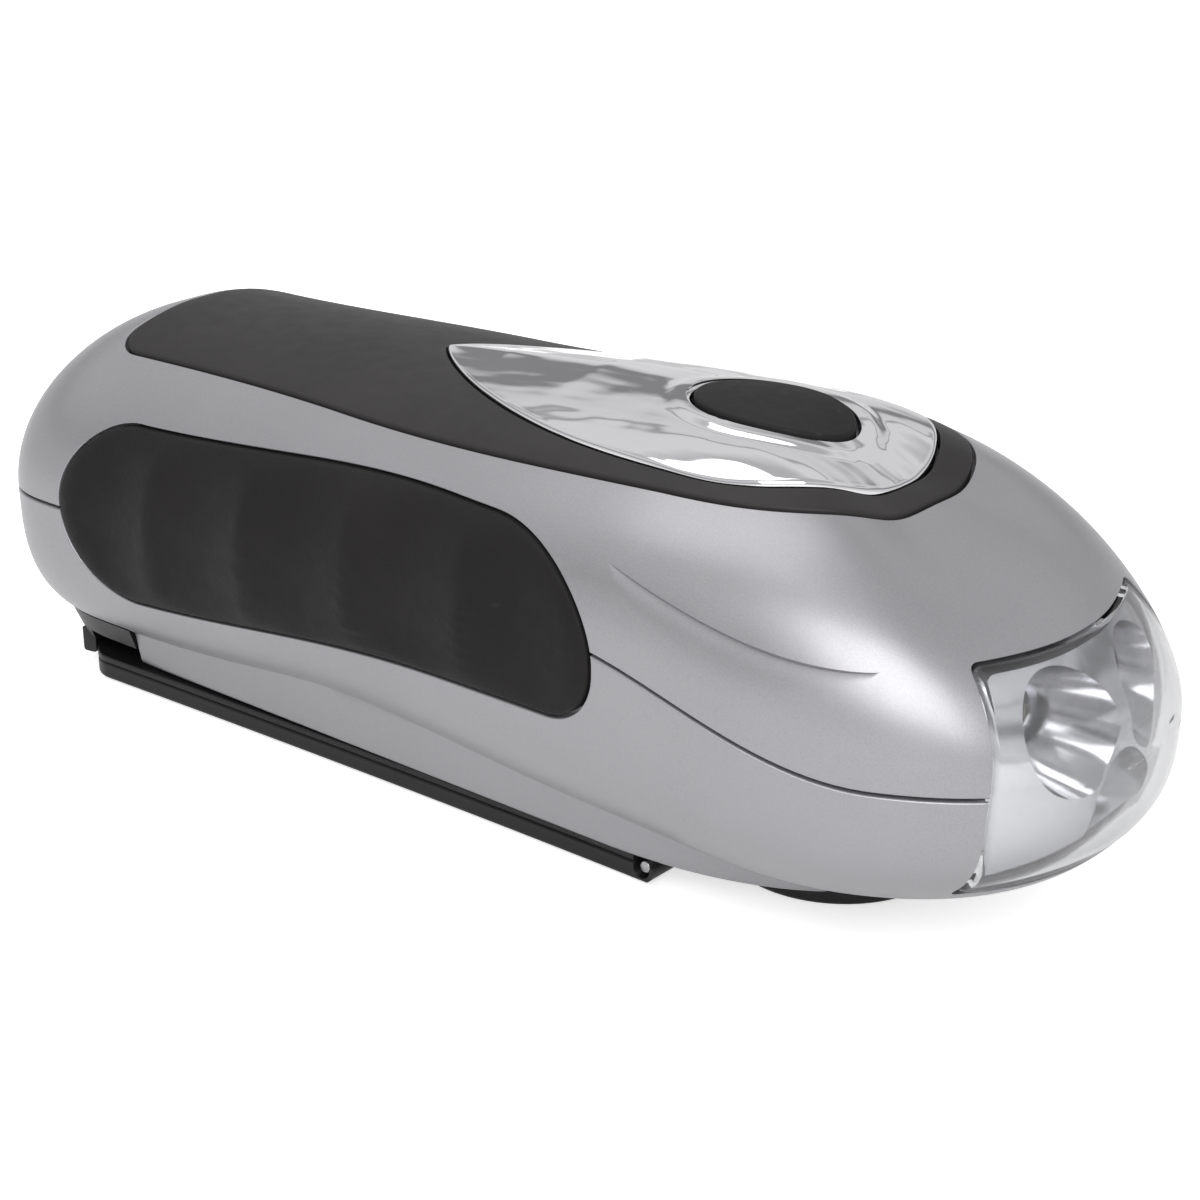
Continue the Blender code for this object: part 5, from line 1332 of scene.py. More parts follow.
@dataclass
class TopTrim:
    """Top inlay, chrome bezel and push button."""

    inlay_rear_x: float = -0.0516
    inlay_front_x: float = 0.0433
    inlay_widest_x: float = 0.0150
    inlay_rear_half: float = 0.0134
    inlay_half_width: float = 0.0170
    inlay_power: float = 3.0
    inlay_corner: float = 0.0036
    thickness: float = 0.0011
    inlay_proud: float = 0.0001
    bezel_rear_x: float = -0.0148
    bezel_front_x: float = 0.0405
    bezel_widest_x: float = 0.0250
    bezel_half_width: float = 0.0145
    bezel_power: float = 2.3
    bezel_rear_power: float = 0.85
    bezel_edge: float = 0.0005
    button_x: float = 0.0261
    button_length: float = 0.0082
    button_width: float = 0.0058
    button_rise: float = 0.00138
    button_crown: float = 0.00009
    button_travel: float = 0.0008
    stem_radius: float = 0.0020
    collar: float = 0.0024
    collar_rise: float = 0.00036
    crease_rise: float = 0.00018
    ridge_rise: float = 0.00115
    ridge_soft: float = 0.0010
    ridge_end: float = 0.8
    ridge_x: tuple[float, ...] = (-0.006, 0.006, 0.012, 0.017, 0.026)
    ridge_shares: tuple[float, ...] = (0.6, 1.0, 0.75, 0.4)
    crease_soft: float = 0.0012
    collar_stretch: float = 1.3
    collar_lead: float = 0.15
    collar_soft: float = 0.5
    fall_runs: tuple[float, ...] = (0.0012, 0.0090, 0.0140, 0.0140)
    face_power: int = 30
    inlay_fillet: float = 0.0002
    inlay_spread: float = 1.4
    bezel_fillet: float = 0.00035
    button_fillet: float = 0.0003
    button_spread: float = 1.3
    stem_low: float = 0.030
    well_low: float = 0.0005
    well_step: float = 0.0004
    well_top: float = 0.00112
    well_flare: float = 0.0004
    well_spare: float = 0.0006
    well_over: float = 0.0020

    def inlay_outline(self, grow: float) -> Array:
        """Inlay outline: superelliptic front, eased sides and rounded rear corners.

        Args:
            grow: growth all round.

        Returns:
            Array of x, y, middle x and middle y.
        """
        turn = steps(48, 0, QUARTER)[:-1]
        width = self.inlay_half_width + grow
        along, across = superellipse(turn, self.inlay_front_x - self.inlay_widest_x + grow, width,
                                     self.inlay_power)
        front = np.column_stack([self.inlay_widest_x + along, across])
        corner_x = self.inlay_rear_x + self.inlay_corner
        share = steps(40)
        side = np.column_stack([mix(self.inlay_widest_x, corner_x, share),
                                mix(width, self.inlay_rear_half + grow, ease(share))])
        turn = steps(12, 0, QUARTER)[1:]
        radius = self.inlay_corner + grow
        corner = np.column_stack([corner_x - radius * np.sin(turn),
                                  self.inlay_rear_half - self.inlay_corner + radius * np.cos(turn)])
        y = steps(8, self.inlay_rear_half - self.inlay_corner, 0)[1:]
        rear = np.column_stack([np.full_like(y, self.inlay_rear_x - grow), y])
        half = np.concatenate([front, side, corner, rear])
        return self.whole(half, self.inlay_rear_x + self.inlay_rear_half, self.inlay_widest_x)

    def bezel_outline(self, grow: float) -> Array:
        """Teardrop: superelliptic front and a rear that falls off as (1 - s^2)^p.

        Args:
            grow: growth all round.

        Returns:
            Array of x, y, middle x and middle y.
        """
        turn = steps(56, 0, QUARTER)[:-1]
        width = self.bezel_half_width + grow
        along, across = superellipse(turn, self.bezel_front_x - self.bezel_widest_x + grow, width,
                                     self.bezel_power)
        front = np.column_stack([self.bezel_widest_x + along, across])
        share = np.sin(steps(84, 0, QUARTER))
        rear = np.column_stack([mix(self.bezel_widest_x, self.bezel_rear_x - grow, share),
                                width * (1 - np.minimum(share, 1) ** 2) ** self.bezel_rear_power])
        rear[-1, 1] = 0
        middle = mix(self.bezel_rear_x, self.bezel_widest_x, 0.5)
        return self.whole(np.concatenate([front, rear]), middle, self.bezel_widest_x)

    def button_outline(self, grow: float) -> Array:
        """Ellipse round the button's axis.

        Args:
            grow: growth all round.

        Returns:
            Array of x, y, middle x and middle y.
        """
        turn = steps(72, 0, math.pi)
        y = (self.button_width + grow) * np.sin(turn)
        y[-1] = 0
        half = np.column_stack([self.button_x + (self.button_length + grow) * np.cos(turn), y])
        slack = self.button_length - self.button_width
        return self.whole(half, self.button_x - slack, self.button_x + slack)

    def whole(self, half: Array, low: float, high: float) -> Array:
        """Mirror a half outline and add the middle line, from low to high, that its rings shrink to."""
        loop = loop_grid(half[None])[0]
        return np.column_stack([loop, np.clip(loop[:, 0], low, high), np.zeros(len(loop))])

    def bezel_face(self, x: Array, y: Array, share: Array) -> Array:
        """Lift of the bezel over its edge.

        A ridge follows the centre line from the tail and parts into an oval crease round the button. The
        face falls straight from them to the edge. Inside the crease a soft collar rises round the button.

        Args:
            x: places along the bezel.
            y: places across it.
            share: shares of the outline.

        Returns:
            Lifts.
        """
        long = self.button_length + self.collar * self.collar_stretch
        wide = self.button_width + self.collar
        oval = (np.hypot((x - self.button_x) / long, y / wide) - 1) * wide
        past = np.maximum(x - self.button_x + long * self.ridge_end, 0)
        ridge = np.hypot(np.hypot(y, self.ridge_soft), past) - self.ridge_soft
        blend = np.clip(0.5 + (ridge - oval) / (2 * self.crease_soft), 0, 1)
        crease = np.maximum(mix(ridge, oval, blend) - self.crease_soft * blend * (1 - blend), 0)
        stations = (self.bezel_rear_x, 0.0, self.bezel_widest_x, self.bezel_front_x)
        run = np.interp(x, stations, self.fall_runs)
        fall = crease / np.maximum(crease + (1 - share) * run, TINY)
        rises = (0.0, *[self.ridge_rise * part for part in self.ridge_shares], self.crease_rise)
        peak = np.interp(x, (self.bezel_rear_x, *self.ridge_x), rises)
        collar = self.collar_rise * ease(self.collar_lead - oval / (self.collar * self.collar_soft))
        return peak * (1 - fall) * (1 - share ** self.face_power) + collar

    def pocket(self) -> Piece:
        """Cutter of the inlay's pocket."""
        rings = mouth_rings(GAP, self.thickness + GAP, self.inlay_fillet)
        return Piece.of("inlay_pocket", fitted_grid(Side.TOP, self.inlay_outline, rings))

    def stem_hole(self) -> Piece:
        """Cutter of the hole that the button's stem runs in."""
        return Screws().column("stem_hole", self.stem_radius + GAP, self.stem_low, HOUSING.top + OVERRUN,
                               (self.button_x, 0), 48)

    def well(self) -> Piece:
        """Cutter of the well round the button, flared at its mouth."""
        rings = [Ring(share, GAP, -self.thickness - OVERRUN) for share in WINDOW_SHARES]
        rings += [Ring(1, GAP, -self.well_low), Ring(1, GAP, self.well_step, 0, 1)]
        rings += [Ring(1, GAP + draw, self.well_top - drop, 0, 1)
                  for draw, drop in quarter_round(self.well_flare, 6)]
        rings += [Ring(share, GAP + self.well_spare, self.well_over, 0, 1)
                  for share in reversed(WINDOW_SHARES)]
        return Piece.of("button_well", fitted_grid(Side.TOP, self.button_outline, rings))

    def button_face(self, x: Array, y: Array, share: Array) -> Array:
        """Lift of the button's face: a soft crown."""
        return self.button_crown * (1 - share ** 2)

    def build(self) -> None:
        """Inlay, bezel and button."""
        spread = 1 - steps(26)[1:] ** self.inlay_spread
        rings = rim_rings(self.thickness, self.inlay_proud, self.inlay_fillet, spread)
        inlay = Piece.of("dark_top_inlay", fitted_grid(Side.TOP, self.inlay_outline, rings))
        rings = [Ring(share, GAP, -self.thickness - OVERRUN) for share in WINDOW_SHARES]
        rings += [Ring(share, GAP, OVERRUN) for share in reversed(WINDOW_SHARES)]
        inlay.change(Way.CUT, Piece.of("bezel_window", fitted_grid(Side.TOP, self.bezel_outline, rings)))
        inlay.smooth().dress(INLAY, "inlay_rubber", "housing", "top_inlay")

        rings = rim_rings(self.thickness, self.bezel_edge, self.bezel_fillet, 1 - steps(84)[1:], 1)
        grid = fitted_grid(Side.TOP, self.bezel_outline, rings, self.bezel_face)
        bezel = Piece.of("chrome_bezel", grid)
        bezel.change(Way.CUT, self.well())
        bezel.smooth(24).dress(CHROME, "bezel_chrome", "housing", "button_bezel")

        spread = 1 - steps(20)[1:] ** self.button_spread
        floor = self.thickness - self.button_travel
        rings = rim_rings(floor, self.button_rise, self.button_fillet, spread, 1)
        grid = fitted_grid(Side.TOP, self.button_outline, rings, self.button_face)
        button = Piece.of("push_button", grid)
        stem = Screws().column("stem", self.stem_radius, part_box("power_button")[0].z, HOUSING.top,
                               (self.button_x, 0), 48)
        button.change(Way.JOIN, stem)
        button.smooth().dress(BUTTON, "button_rubber", "button", "power_button")


@dataclass
class Front:
    """Clear lens, bright reflector and the three light emitters."""

    top_share: float = 0.442
    top_sag: float = 0.0002
    low_z: float = 0.0092
    low_rise: float = 0.0014
    top_half: float = 0.0128
    low_half: float = 0.0142
    bulge: float = 0.0018
    corner: float = 0.0008
    wall: float = 0.0018
    back_x: float = 0.0510
    plate_depth: float = 0.0122
    plate_gap: float = 0.0006
    cup_depth: float = 0.0090
    cup_back: float = 0.0028
    cup_front: float = 0.0049
    cup_low: float = 0.0042
    led_radius: float = 0.0025
    led_flange_radius: float = 0.0029
    led_flange: float = 0.0009
    led_length: float = 0.0078
    led_spread: float = 0.0062
    upper_drop: float = 0.0065
    lower_rise: float = 0.0055
    edge_fillet: float = 0.0004
    face_inset: float = 0.00001
    block_inset: float = 0.0014
    block_foot: float = 0.0006
    block_foot_height: float = 0.0016
    block_spare: float = 0.0022
    block_far: float = 0.016
    columns: int = 38
    rings: int = 26
    led_join: float = 0.9
    led_fillets: tuple[float, ...] = (0, 0.0001, 0.00015, 0.00015, 0)
    die_profile: tuple[tuple[float, float], ...] = (
        (0, 0.0014), (0.0004, 0.0014), (0.0008, 0.0019), (0.0009, 0.0028), (0.00075, 0.0028),
        (0.00045, 0.0023), (0, 0.0023))
    die_fillets: tuple[float, ...] = (0, 0.0002, 0.0002, 0.00005, 0.00005, 0.0002, 0)

    def top_z(self) -> float:
        """Height of the lens's upper edge."""
        return mix(HOUSING.seam_nose, HOUSING.top, self.top_share)

    def outline(self, grow: float) -> Array:
        """Lens outline from the front: straight top, bulged sides and a low edge that rises in its middle.

        Args:
            grow: growth all round.

        Returns:
            Array of y, z, middle y and middle z.
        """
        def half_at(share: Array) -> Array:
            """Half width at a share of the height, bulged as 4s(1 - s)."""
            return mix(self.low_half, self.top_half, share) + self.bulge * 4 * share * (1 - share) + grow

        top, low = self.top_z() + grow, self.low_z - grow
        wide, tall = float(half_at(np.array(1.0))), top - low
        low_wide = float(half_at(np.array(0.0)))
        share = steps(self.columns, 0, 1 - self.corner / wide)
        upper = np.column_stack([wide * share, top - self.top_sag * (1 - share ** 2)])
        share = steps(self.columns, 1 - self.corner / tall, self.corner / tall)
        side = np.column_stack([half_at(share), mix(low, top, share)])
        share = steps(self.columns, 1 - self.corner / low_wide, 0)
        lower = np.column_stack([low_wide * share, low + self.low_rise * (1 - share ** 2)])
        arc = steps(6)[1:-1, None]
        half = np.concatenate([upper, bend(upper[-1], np.array((wide, top)), side[0], arc), side,
                               bend(side[-1], np.array((low_wide, low)), lower[0], arc), lower])
        whole = np.concatenate([half, half[-2:0:-1] * [-1, 1]])
        middle = np.zeros(len(whole))
        return np.column_stack([whole, middle, middle + mix(low, top, 0.5)])


    def led_places(self) -> list[tuple[str, float, float]]:
        """Name, y and z of each light emitter."""
        upper = self.top_z() - self.upper_drop
        return [("led_left", self.led_spread, upper), ("led_right", -self.led_spread, upper),
                ("led_low", 0.0, self.low_z + self.lower_rise)]

    def lens(self) -> Piece:
        """Lens: outer face on the skin, rounded edge, wall, and an inner face that follows it."""
        shares = steps(self.rings)
        rings = [Ring(share, 0, -self.wall) for share in shares]
        rings += [Ring(1, -draw, -drop) for draw, drop in quarter_round(self.edge_fillet, 5)]
        rings += [Ring(share, -self.edge_fillet, -self.face_inset) for share in 1 - shares[1:]]
        return Piece.of("clear_front_lens", fitted_grid(Side.FRONT, self.outline, rings))

    def reflector(self) -> Piece:
        """Reflector: a block in the lens's outline, its front just behind the lens, with three deep cups."""
        outline = self.outline(-self.block_inset)[::-1, :2].copy()
        low = outline[:, 1] < self.low_z + self.low_rise + self.block_foot_height
        outline[low, 1] = self.low_z + self.block_foot
        mesh = prism_mesh("cup_reflector", outline, self.back_x, self.back_x + self.plate_depth)
        mesh.transform(Matrix(((0, 0, 1, 0), (1, 0, 0, 0), (0, 1, 0, 0), (0, 0, 0, 1))))
        shares = steps(self.rings)
        rings = [Ring(share, self.block_spare, -self.wall - self.plate_gap) for share in shares]
        rings += [Ring(share, self.block_spare, self.block_far) for share in shares[::-1]]
        front = Piece.of("plate_front", fitted_grid(Side.FRONT, self.outline, rings))
        cups = [self.cup(y, z) for _, y, z in self.led_places()]
        return Piece("cup_reflector", mesh).change(Way.CUT, front, *cups)

    def cup(self, centre_y: float, centre_z: float) -> Piece:
        """Cutter of one cup: the square of its radius grows evenly with depth.

        Args:
            centre_y: place of its axis across the torch.
            centre_z: height of its axis.

        Returns:
            The cutter.
        """
        front = self.cup_low if centre_y == 0 else self.cup_front
        depth = steps(32, 0, self.plate_depth + OVERRUN)
        radius = np.sqrt(mix(self.cup_back ** 2, front ** 2, depth / self.cup_depth))
        profile = np.concatenate([[[0, -OVERRUN], [self.cup_back, -OVERRUN]],
                                  np.column_stack([radius, depth]), [[0, depth[-1]]]])
        return Piece.of("cup", lathe_grid(profile, (self.back_x, centre_y, centre_z), 96, along_x=True))

    def build(self) -> None:
        """Lens, reflector and emitters."""
        self.lens().smooth(40, skin=True, lining=True).dress(LENS, "lens_plastic", "housing", "front_lens")
        self.reflector().smooth(14).dress(MIRROR, "reflector_mirror", "housing", "reflector")
        flange_x = self.back_x - GAP - self.led_flange
        barrel = self.led_length - self.led_radius
        for name, y, z in self.led_places():
            turn = steps(20, 0, QUARTER)
            dome = np.column_stack([self.led_radius * np.sin(turn), barrel + self.led_radius * np.cos(turn)])
            base = rounded([(self.led_radius, barrel * self.led_join), (self.led_radius, self.led_flange),
                            (self.led_flange_radius, self.led_flange), (self.led_flange_radius, 0), (0, 0)],
                           self.led_fillets)
            grid = lathe_grid(np.concatenate([dome, base]), (flange_x, y, z), 64, along_x=True)
            emitter = Piece.of("clear_" + name, grid)
            emitter.smooth().dress(RESIN, "led_resin", "housing", name)
            grid = lathe_grid(rounded(self.die_profile, self.die_fillets), (flange_x, y, z), 40, along_x=True)
            cup = Piece.of(name + "_die_cup", grid)
            cup.smooth().dress(PHOSPHOR, "led_resin", "housing")


@dataclass
class Tail:
    """Black block under the tail, with the channel that the knob runs in and the lip behind the lever."""

    hub_x: float = 0.0348
    lever_reach: float = 0.0909
    knob_radius: float = 0.0032
    knob_edge: float = 0.0008
    knob_proud: float = 0.0017
    lever_thickness: float = 0.0027
    cut_z: float = 0.0077
    front_clearance: float = 0.0014
    clearance: float = 0.0004
    headroom: float = 0.0005
    block_z: float = 0.0032
    taper: float = 0.91
    stock: float = 0.0070
    lip_thickness: float = 0.0018
    lip_z: float = 0.0014
    lip_half_angle: float = math.radians(10.5)
    half_angle: float = math.radians(24)
    floor_length: float = 0.0085
    fillet: float = 0.0006
    lip_fillet: float = 0.0004
    top_edge: float = 0.0001
    draw_length: float = 0.017

    def orbit(self) -> float:
        """Radius of the knob's axis about the hub."""
        return self.lever_reach - self.knob_radius - self.knob_edge

    def inner(self) -> float:
        """Radius of the step ahead of the knob."""
        return self.orbit() - self.knob_radius - self.front_clearance

    def outer(self) -> float:
        """Radius of the wall behind the knob."""
        return self.orbit() + self.knob_radius + self.clearance

    def rear_wall_x(self) -> float:
        """Rear end of the platform's stock."""
        return self.hub_x - self.outer()

    def sector(self, name: str, inner: float, outer: float, low: float, high: float, half_angle: float,
               fillet: float = 0.0) -> Piece:
        """Upright slab between two arcs about the hub, as a ring section swept along an arc.

        Args:
            name: name of the piece.
            inner: inner radius.
            outer: outer radius.
            low: lower level.
            high: upper level.
            half_angle: half of the sweep.
            fillet: radius of the lower edges.

        Returns:
            The slab.
        """
        corners = [(mix(inner, outer, 0.5), high), (outer, high), (outer, low), (inner, low), (inner, high),
                   (mix(inner, outer, 0.5), high)]
        section = rounded(corners, [0, 0, fillet, fillet, 0, 0], 5)[:-1]
        turn = steps(72, math.pi - half_angle, math.pi + half_angle)[:, None]
        radius, height = section[:, 0][None], section[:, 1][None] + np.zeros_like(turn)
        body = np.stack([self.hub_x + radius * np.cos(turn), radius * np.sin(turn), height], -1)
        caps = [np.tile(row.mean(axis=0), (len(section), 1)) for row in (body[0], body[-1])]
        return Piece.of(name, np.concatenate([caps[0][None], body, caps[1][None]]))

    def step(self) -> Piece:
        """Cutter of the tail's step in the lower shell."""
        reach = self.hub_x - HOUSING.tail_x + OVERRUN
        return self.sector("tail_step", self.inner(), reach, -OVERRUN, self.cut_z, self.half_angle)

    def floor_stock(self) -> Piece:
        """Stock that closes the shell's floor over the tail."""
        low_x, high_x = HOUSING.tail_x, self.rear_wall_x() + self.floor_length
        width = HOUSING.mid_half_width
        outline = np.array([(low_x, -width), (high_x, -width), (high_x, width), (low_x, width)])
        return Piece("tail_floor", prism_mesh("tail_floor", outline, 0, self.cut_z + HOUSING.wall))

    def build(self) -> None:
        """The block: the hull's outline at the cut, tapered down, with rounded lower edges."""
        top = self.cut_z - GAP
        outline = HOUSING.half_outline(GAP)
        outline = outline[outline[:, 0] <= HOUSING.rear_spine_x + GAP]
        x, y, nose, tail = outline.T
        power = HOUSING.powers(x, nose, tail)[2]
        seam, hull = HOUSING.seam_z(x), HOUSING.hull_z(HOUSING.spine(x))
        reach = (1 - ((seam - self.cut_z) / (seam - hull)) ** power) ** (1 / power)
        spine = HOUSING.spine(x)
        edge_x, edge_y = mix(spine, x, reach), y * reach
        front_x = HOUSING.rear_spine_x + self.stock
        edge_x = np.concatenate([[front_x, front_x], edge_x])
        edge_y = np.concatenate([[0, edge_y[0]], edge_y])
        levels = [(top, 0), (top - self.top_edge, 0)]
        levels += [(self.block_z + drop, draw) for draw, drop in quarter_round(self.fillet, 6)]
        rows = []
        for height, draw in levels:
            share = mix(1, self.taper, (top - height) / (top - self.block_z))
            behind = mix(HOUSING.rear_spine_x, edge_x, share - draw / self.draw_length)
            row_x = np.where(edge_x < HOUSING.rear_spine_x, behind, edge_x)
            row_y = edge_y * share - draw * np.sign(edge_y)
            rows.append(np.column_stack([row_x, row_y, np.full_like(row_x, height)]))
        block = Piece.stack("black_tail_block", rows)
        lip = self.lever_reach + self.clearance
        block.change(Way.JOIN, self.sector("tail_lip", lip, lip + self.lip_thickness, self.lip_z,
                                           self.block_z + OVERRUN, self.lip_half_angle, self.lip_fillet))
        near = self.inner() + GAP - self.stock - OVERRUN
        ceiling = self.lever_thickness + self.knob_proud + self.headroom
        channel = self.sector("knob_channel", near, self.outer(), -OVERRUN, ceiling, self.half_angle)
        front = self.sector("block_front", near, self.inner() + GAP, -OVERRUN, top + OVERRUN, self.half_angle)
        block.change(Way.CUT, channel, front)
        block.smooth(34).dress(BLACK, "black_plastic", "housing", "tail_block")


@dataclass
class Crank:
    """Hub, hinge pin, forked lever and winding knob."""

    hub_radius: float = 0.0108
    hub_edge: float = 0.0007
    lug_half: float = 0.0111
    lug_waist: float = 0.0080
    lug_straight: float = 0.0030
    lug_taper: float = 0.0040
    pin_x: float = 0.0244
    pin_radius: float = 0.00065
    pin_half_length: float = 0.0163
    pin_notch: float = 0.0017
    front_half: float = 0.0168
    rear_half: float = 0.0188
    corner: float = 0.0040
    edge: float = 0.0004
    groove: float = 0.00025
    groove_z: float = 0.00187
    groove_width: float = 0.00022
    hub_clearance: float = 0.0006
    shaft_radius: float = 0.0020
    knob_floor: float = 0.0008
    rivet_radius: float = 0.0010
    rivet_head_radius: float = 0.0018
    rivet_head: float = 0.0006
    rivet_fillet: float = 0.0003
    knob_fillets: tuple[float, ...] = (0, 0.0001, 0.0005, 0.0002, 0, 0, 0)
    pin_fillet: float = 0.0002
    bore_half_length: float = 0.026
    top_edge: float = 0.0002
    shaft_top: float = 0.0093
    screw_radius: float = 0.0008
    screw_length: float = 0.0050
    axle_radius: float = 0.0012

    def bores(self) -> list[Piece]:
        """Cutters for the hub shaft and the gear axles in the lower shell."""
        column = Screws().column
        floor = HOUSING.hull_rear + HOUSING.wall
        found = [column("hub_bore", self.shaft_radius + GAP, 0, floor + 2 * OVERRUN, (Tail().hub_x, 0), 64)]
        for node in ("idler_gear", "rotor_pinion"):
            low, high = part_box(node)
            middle = ((low.x + high.x) / 2, (low.y + high.y) / 2)
            seat = self.axle_radius + GAP
            found.append(column("axle_seat", seat, low.z - GAP, floor + OVERRUN, middle, 48))
        return found

    def levels(self, thickness: float) -> Array:
        """Heights through the thickness and how far the round end reaches past the pin."""
        half, turn = thickness / 2, steps(40, 0, math.pi)
        return np.column_stack([half - half * np.cos(turn), half * np.sin(turn)])

    def lever_half_width(self, x: Array) -> Array:
        """Half width of the lever: eased to the power one half from the tail to the pin."""
        rear = Tail().hub_x - Tail().lever_reach
        return mix(self.rear_half, self.front_half, eased(x, rear, self.pin_x) ** 0.5)

    def lever_half(self, inset: float, height: float, front_x: float) -> Array:
        """Half outline of the lever: tapered side, round corner, and rear arc about the hub.

        Args:
            inset: distance that the outline is drawn in.
            height: its level.
            front_x: its front end.

        Returns:
            Points, shape (n, 3).
        """
        tail = Tail()
        turn = math.asin((self.rear_half - self.corner) / (tail.lever_reach - self.corner))
        corner_x = tail.hub_x - (tail.lever_reach - self.corner) * math.cos(turn)
        x = steps(60, front_x, corner_x)
        side = np.column_stack([x, self.lever_half_width(x) - inset])
        corner_y = float(self.lever_half_width(np.array(corner_x))) - self.corner
        arc = steps(12, 0, QUARTER - turn)[1:-1]
        radius = self.corner - inset
        bend = np.column_stack([corner_x - radius * np.sin(arc), corner_y + radius * np.cos(arc)])
        sweep = turn * steps(30, 1, 0)
        reach = tail.lever_reach - inset
        rear = np.column_stack([tail.hub_x - reach * np.cos(sweep), reach * np.sin(sweep)])
        rear[-1, 1] = 0
        half = np.concatenate([[[front_x, 0]], side, bend, rear])
        return np.column_stack([half, np.full(len(half), height)])

    def lever(self) -> Piece:
        """Forked lever: rounded front, grooved side, slot for the hub's lug and a well for the knob."""
        thick = Tail().lever_thickness
        rows = []
        for height, reach in self.levels(thick):
            below = max(1 - height / self.edge, 0)
            inset = self.edge * (1 - math.sqrt(max(1 - below ** 2, 0)))
            above = max(1 - (thick - height) / self.top_edge, 0)
            inset += self.top_edge * (1 - math.sqrt(max(1 - above ** 2, 0)))
            inset += self.groove * math.exp(-((height - self.groove_z) / (self.groove_width / 2)) ** 2)
            rows.append(self.lever_half(inset, height, self.pin_x + reach))
        lever = Piece.stack("forked_lever", rows)
        lever.change(Way.CUT, self.knob_well(), self.fork_slot(), *self.notches(), self.pin_bore("arm_bore"))
        return lever

    def fork_slot(self) -> Piece:
        """Cutter of the slot between the lever's arms, round at its rear."""
        arm = self.lug_half + GAP
        tail = Tail()
        slot_x = self.pin_x - (tail.hub_x + self.hub_radius + self.hub_clearance - self.pin_x)
        turn = steps(61, QUARTER, math.pi * 1.5)
        arc = np.column_stack([slot_x + arm + arm * np.cos(turn), arm * np.sin(turn)])
        front = self.pin_x + tail.lever_thickness
        outline = np.concatenate([[(front, arm)], arc, [(front, -arm)]])
        high = tail.lever_thickness + OVERRUN
        return Piece("fork_slot", prism_mesh("fork_slot", outline, -OVERRUN, high))

    def notches(self) -> list[Piece]:
        """Cutters of the open notches at the ends of the pin."""
        reach = self.pin_radius + GAP
        half = Tail().lever_thickness / 2
        found = []
        for side in (1, -1):
            y = side * (self.pin_half_length - self.pin_notch)
            far = side * HOUSING.mid_half_width
            outline = np.array([(self.pin_x - reach, y), (self.pin_x + reach, y), (self.pin_x + reach, far),
                                (self.pin_x - reach, far)])
            outline = outline if side > 0 else outline[::-1]
            high = Tail().lever_thickness + OVERRUN
            found.append(Piece("pin_notch", prism_mesh("pin_notch", outline, half, high)))
        return found

    def pin_bore(self, name: str) -> Piece:
        """Cutter of the pin's bore along Y."""
        radius, end = self.pin_radius + GAP, self.bore_half_length
        return Piece.of(name, self.along_pin([(0, -end), (radius, -end), (radius, end), (0, end)]))

    def along_pin(self, profile: Sequence[tuple[float, float]]) -> Array:
        """Surface of revolution about the hinge's axis."""
        turned = lathe_grid(np.array(profile), (0, 0, 0), 48)
        place = (self.pin_x, 0, Tail().lever_thickness / 2)
        return turned[..., [0, 2, 1]] + place

    def knob_well(self) -> Piece:
        """Cutter of the well that the knob sits in."""
        tail = Tail()
        place = (tail.hub_x - tail.orbit(), 0)
        return Screws().column("knob_well", tail.knob_radius + GAP, self.knob_floor,
                               tail.lever_thickness + OVERRUN, place, 72)

    def hub(self) -> Piece:
        """Hub disc with its hinge lug and shaft."""
        column = Screws().column
        hub_x, thick = Tail().hub_x, Tail().lever_thickness
        profile = rounded([(0, 0), (self.hub_radius, 0), (self.hub_radius, thick), (0, thick)],
                          [0, self.hub_edge, self.top_edge, 0], 8)
        hub = Piece.of("crank_hub_disc", lathe_grid(profile, (hub_x, 0, 0), 160))
        lug_end = self.pin_x + self.lug_straight
        rows = []
        for height, reach in self.levels(thick):
            outline = [(hub_x, 0), (hub_x, self.lug_waist), (lug_end + self.lug_taper, self.lug_waist),
                       (lug_end, self.lug_half), (self.pin_x - reach, self.lug_half), (self.pin_x - reach, 0)]
            rows.append(np.array([(*point, height) for point in outline]))
        lug = Piece.stack("hinge_lug", rows)
        shaft = column("hub_shaft", self.shaft_radius, thick / 2, self.shaft_top, (hub_x, 0), 64)
        hub.change(Way.JOIN, lug, shaft)
        bore = column("screw_bore", self.screw_radius + GAP, self.shaft_top - self.screw_length - GAP,
                      self.shaft_top + OVERRUN, (hub_x, 0), 32)
        return hub.change(Way.CUT, bore, self.pin_bore("lug_bore"))

    def pin(self) -> Piece:
        """Hinge pin along Y with rounded ends."""
        end, radius, fillet = self.pin_half_length, self.pin_radius, self.pin_fillet
        profile = rounded([(0, -end), (radius, -end), (radius, end), (0, end)], [0, fillet, fillet, 0], 5)
        return Piece.of("steel_hinge_pin", self.along_pin(profile))

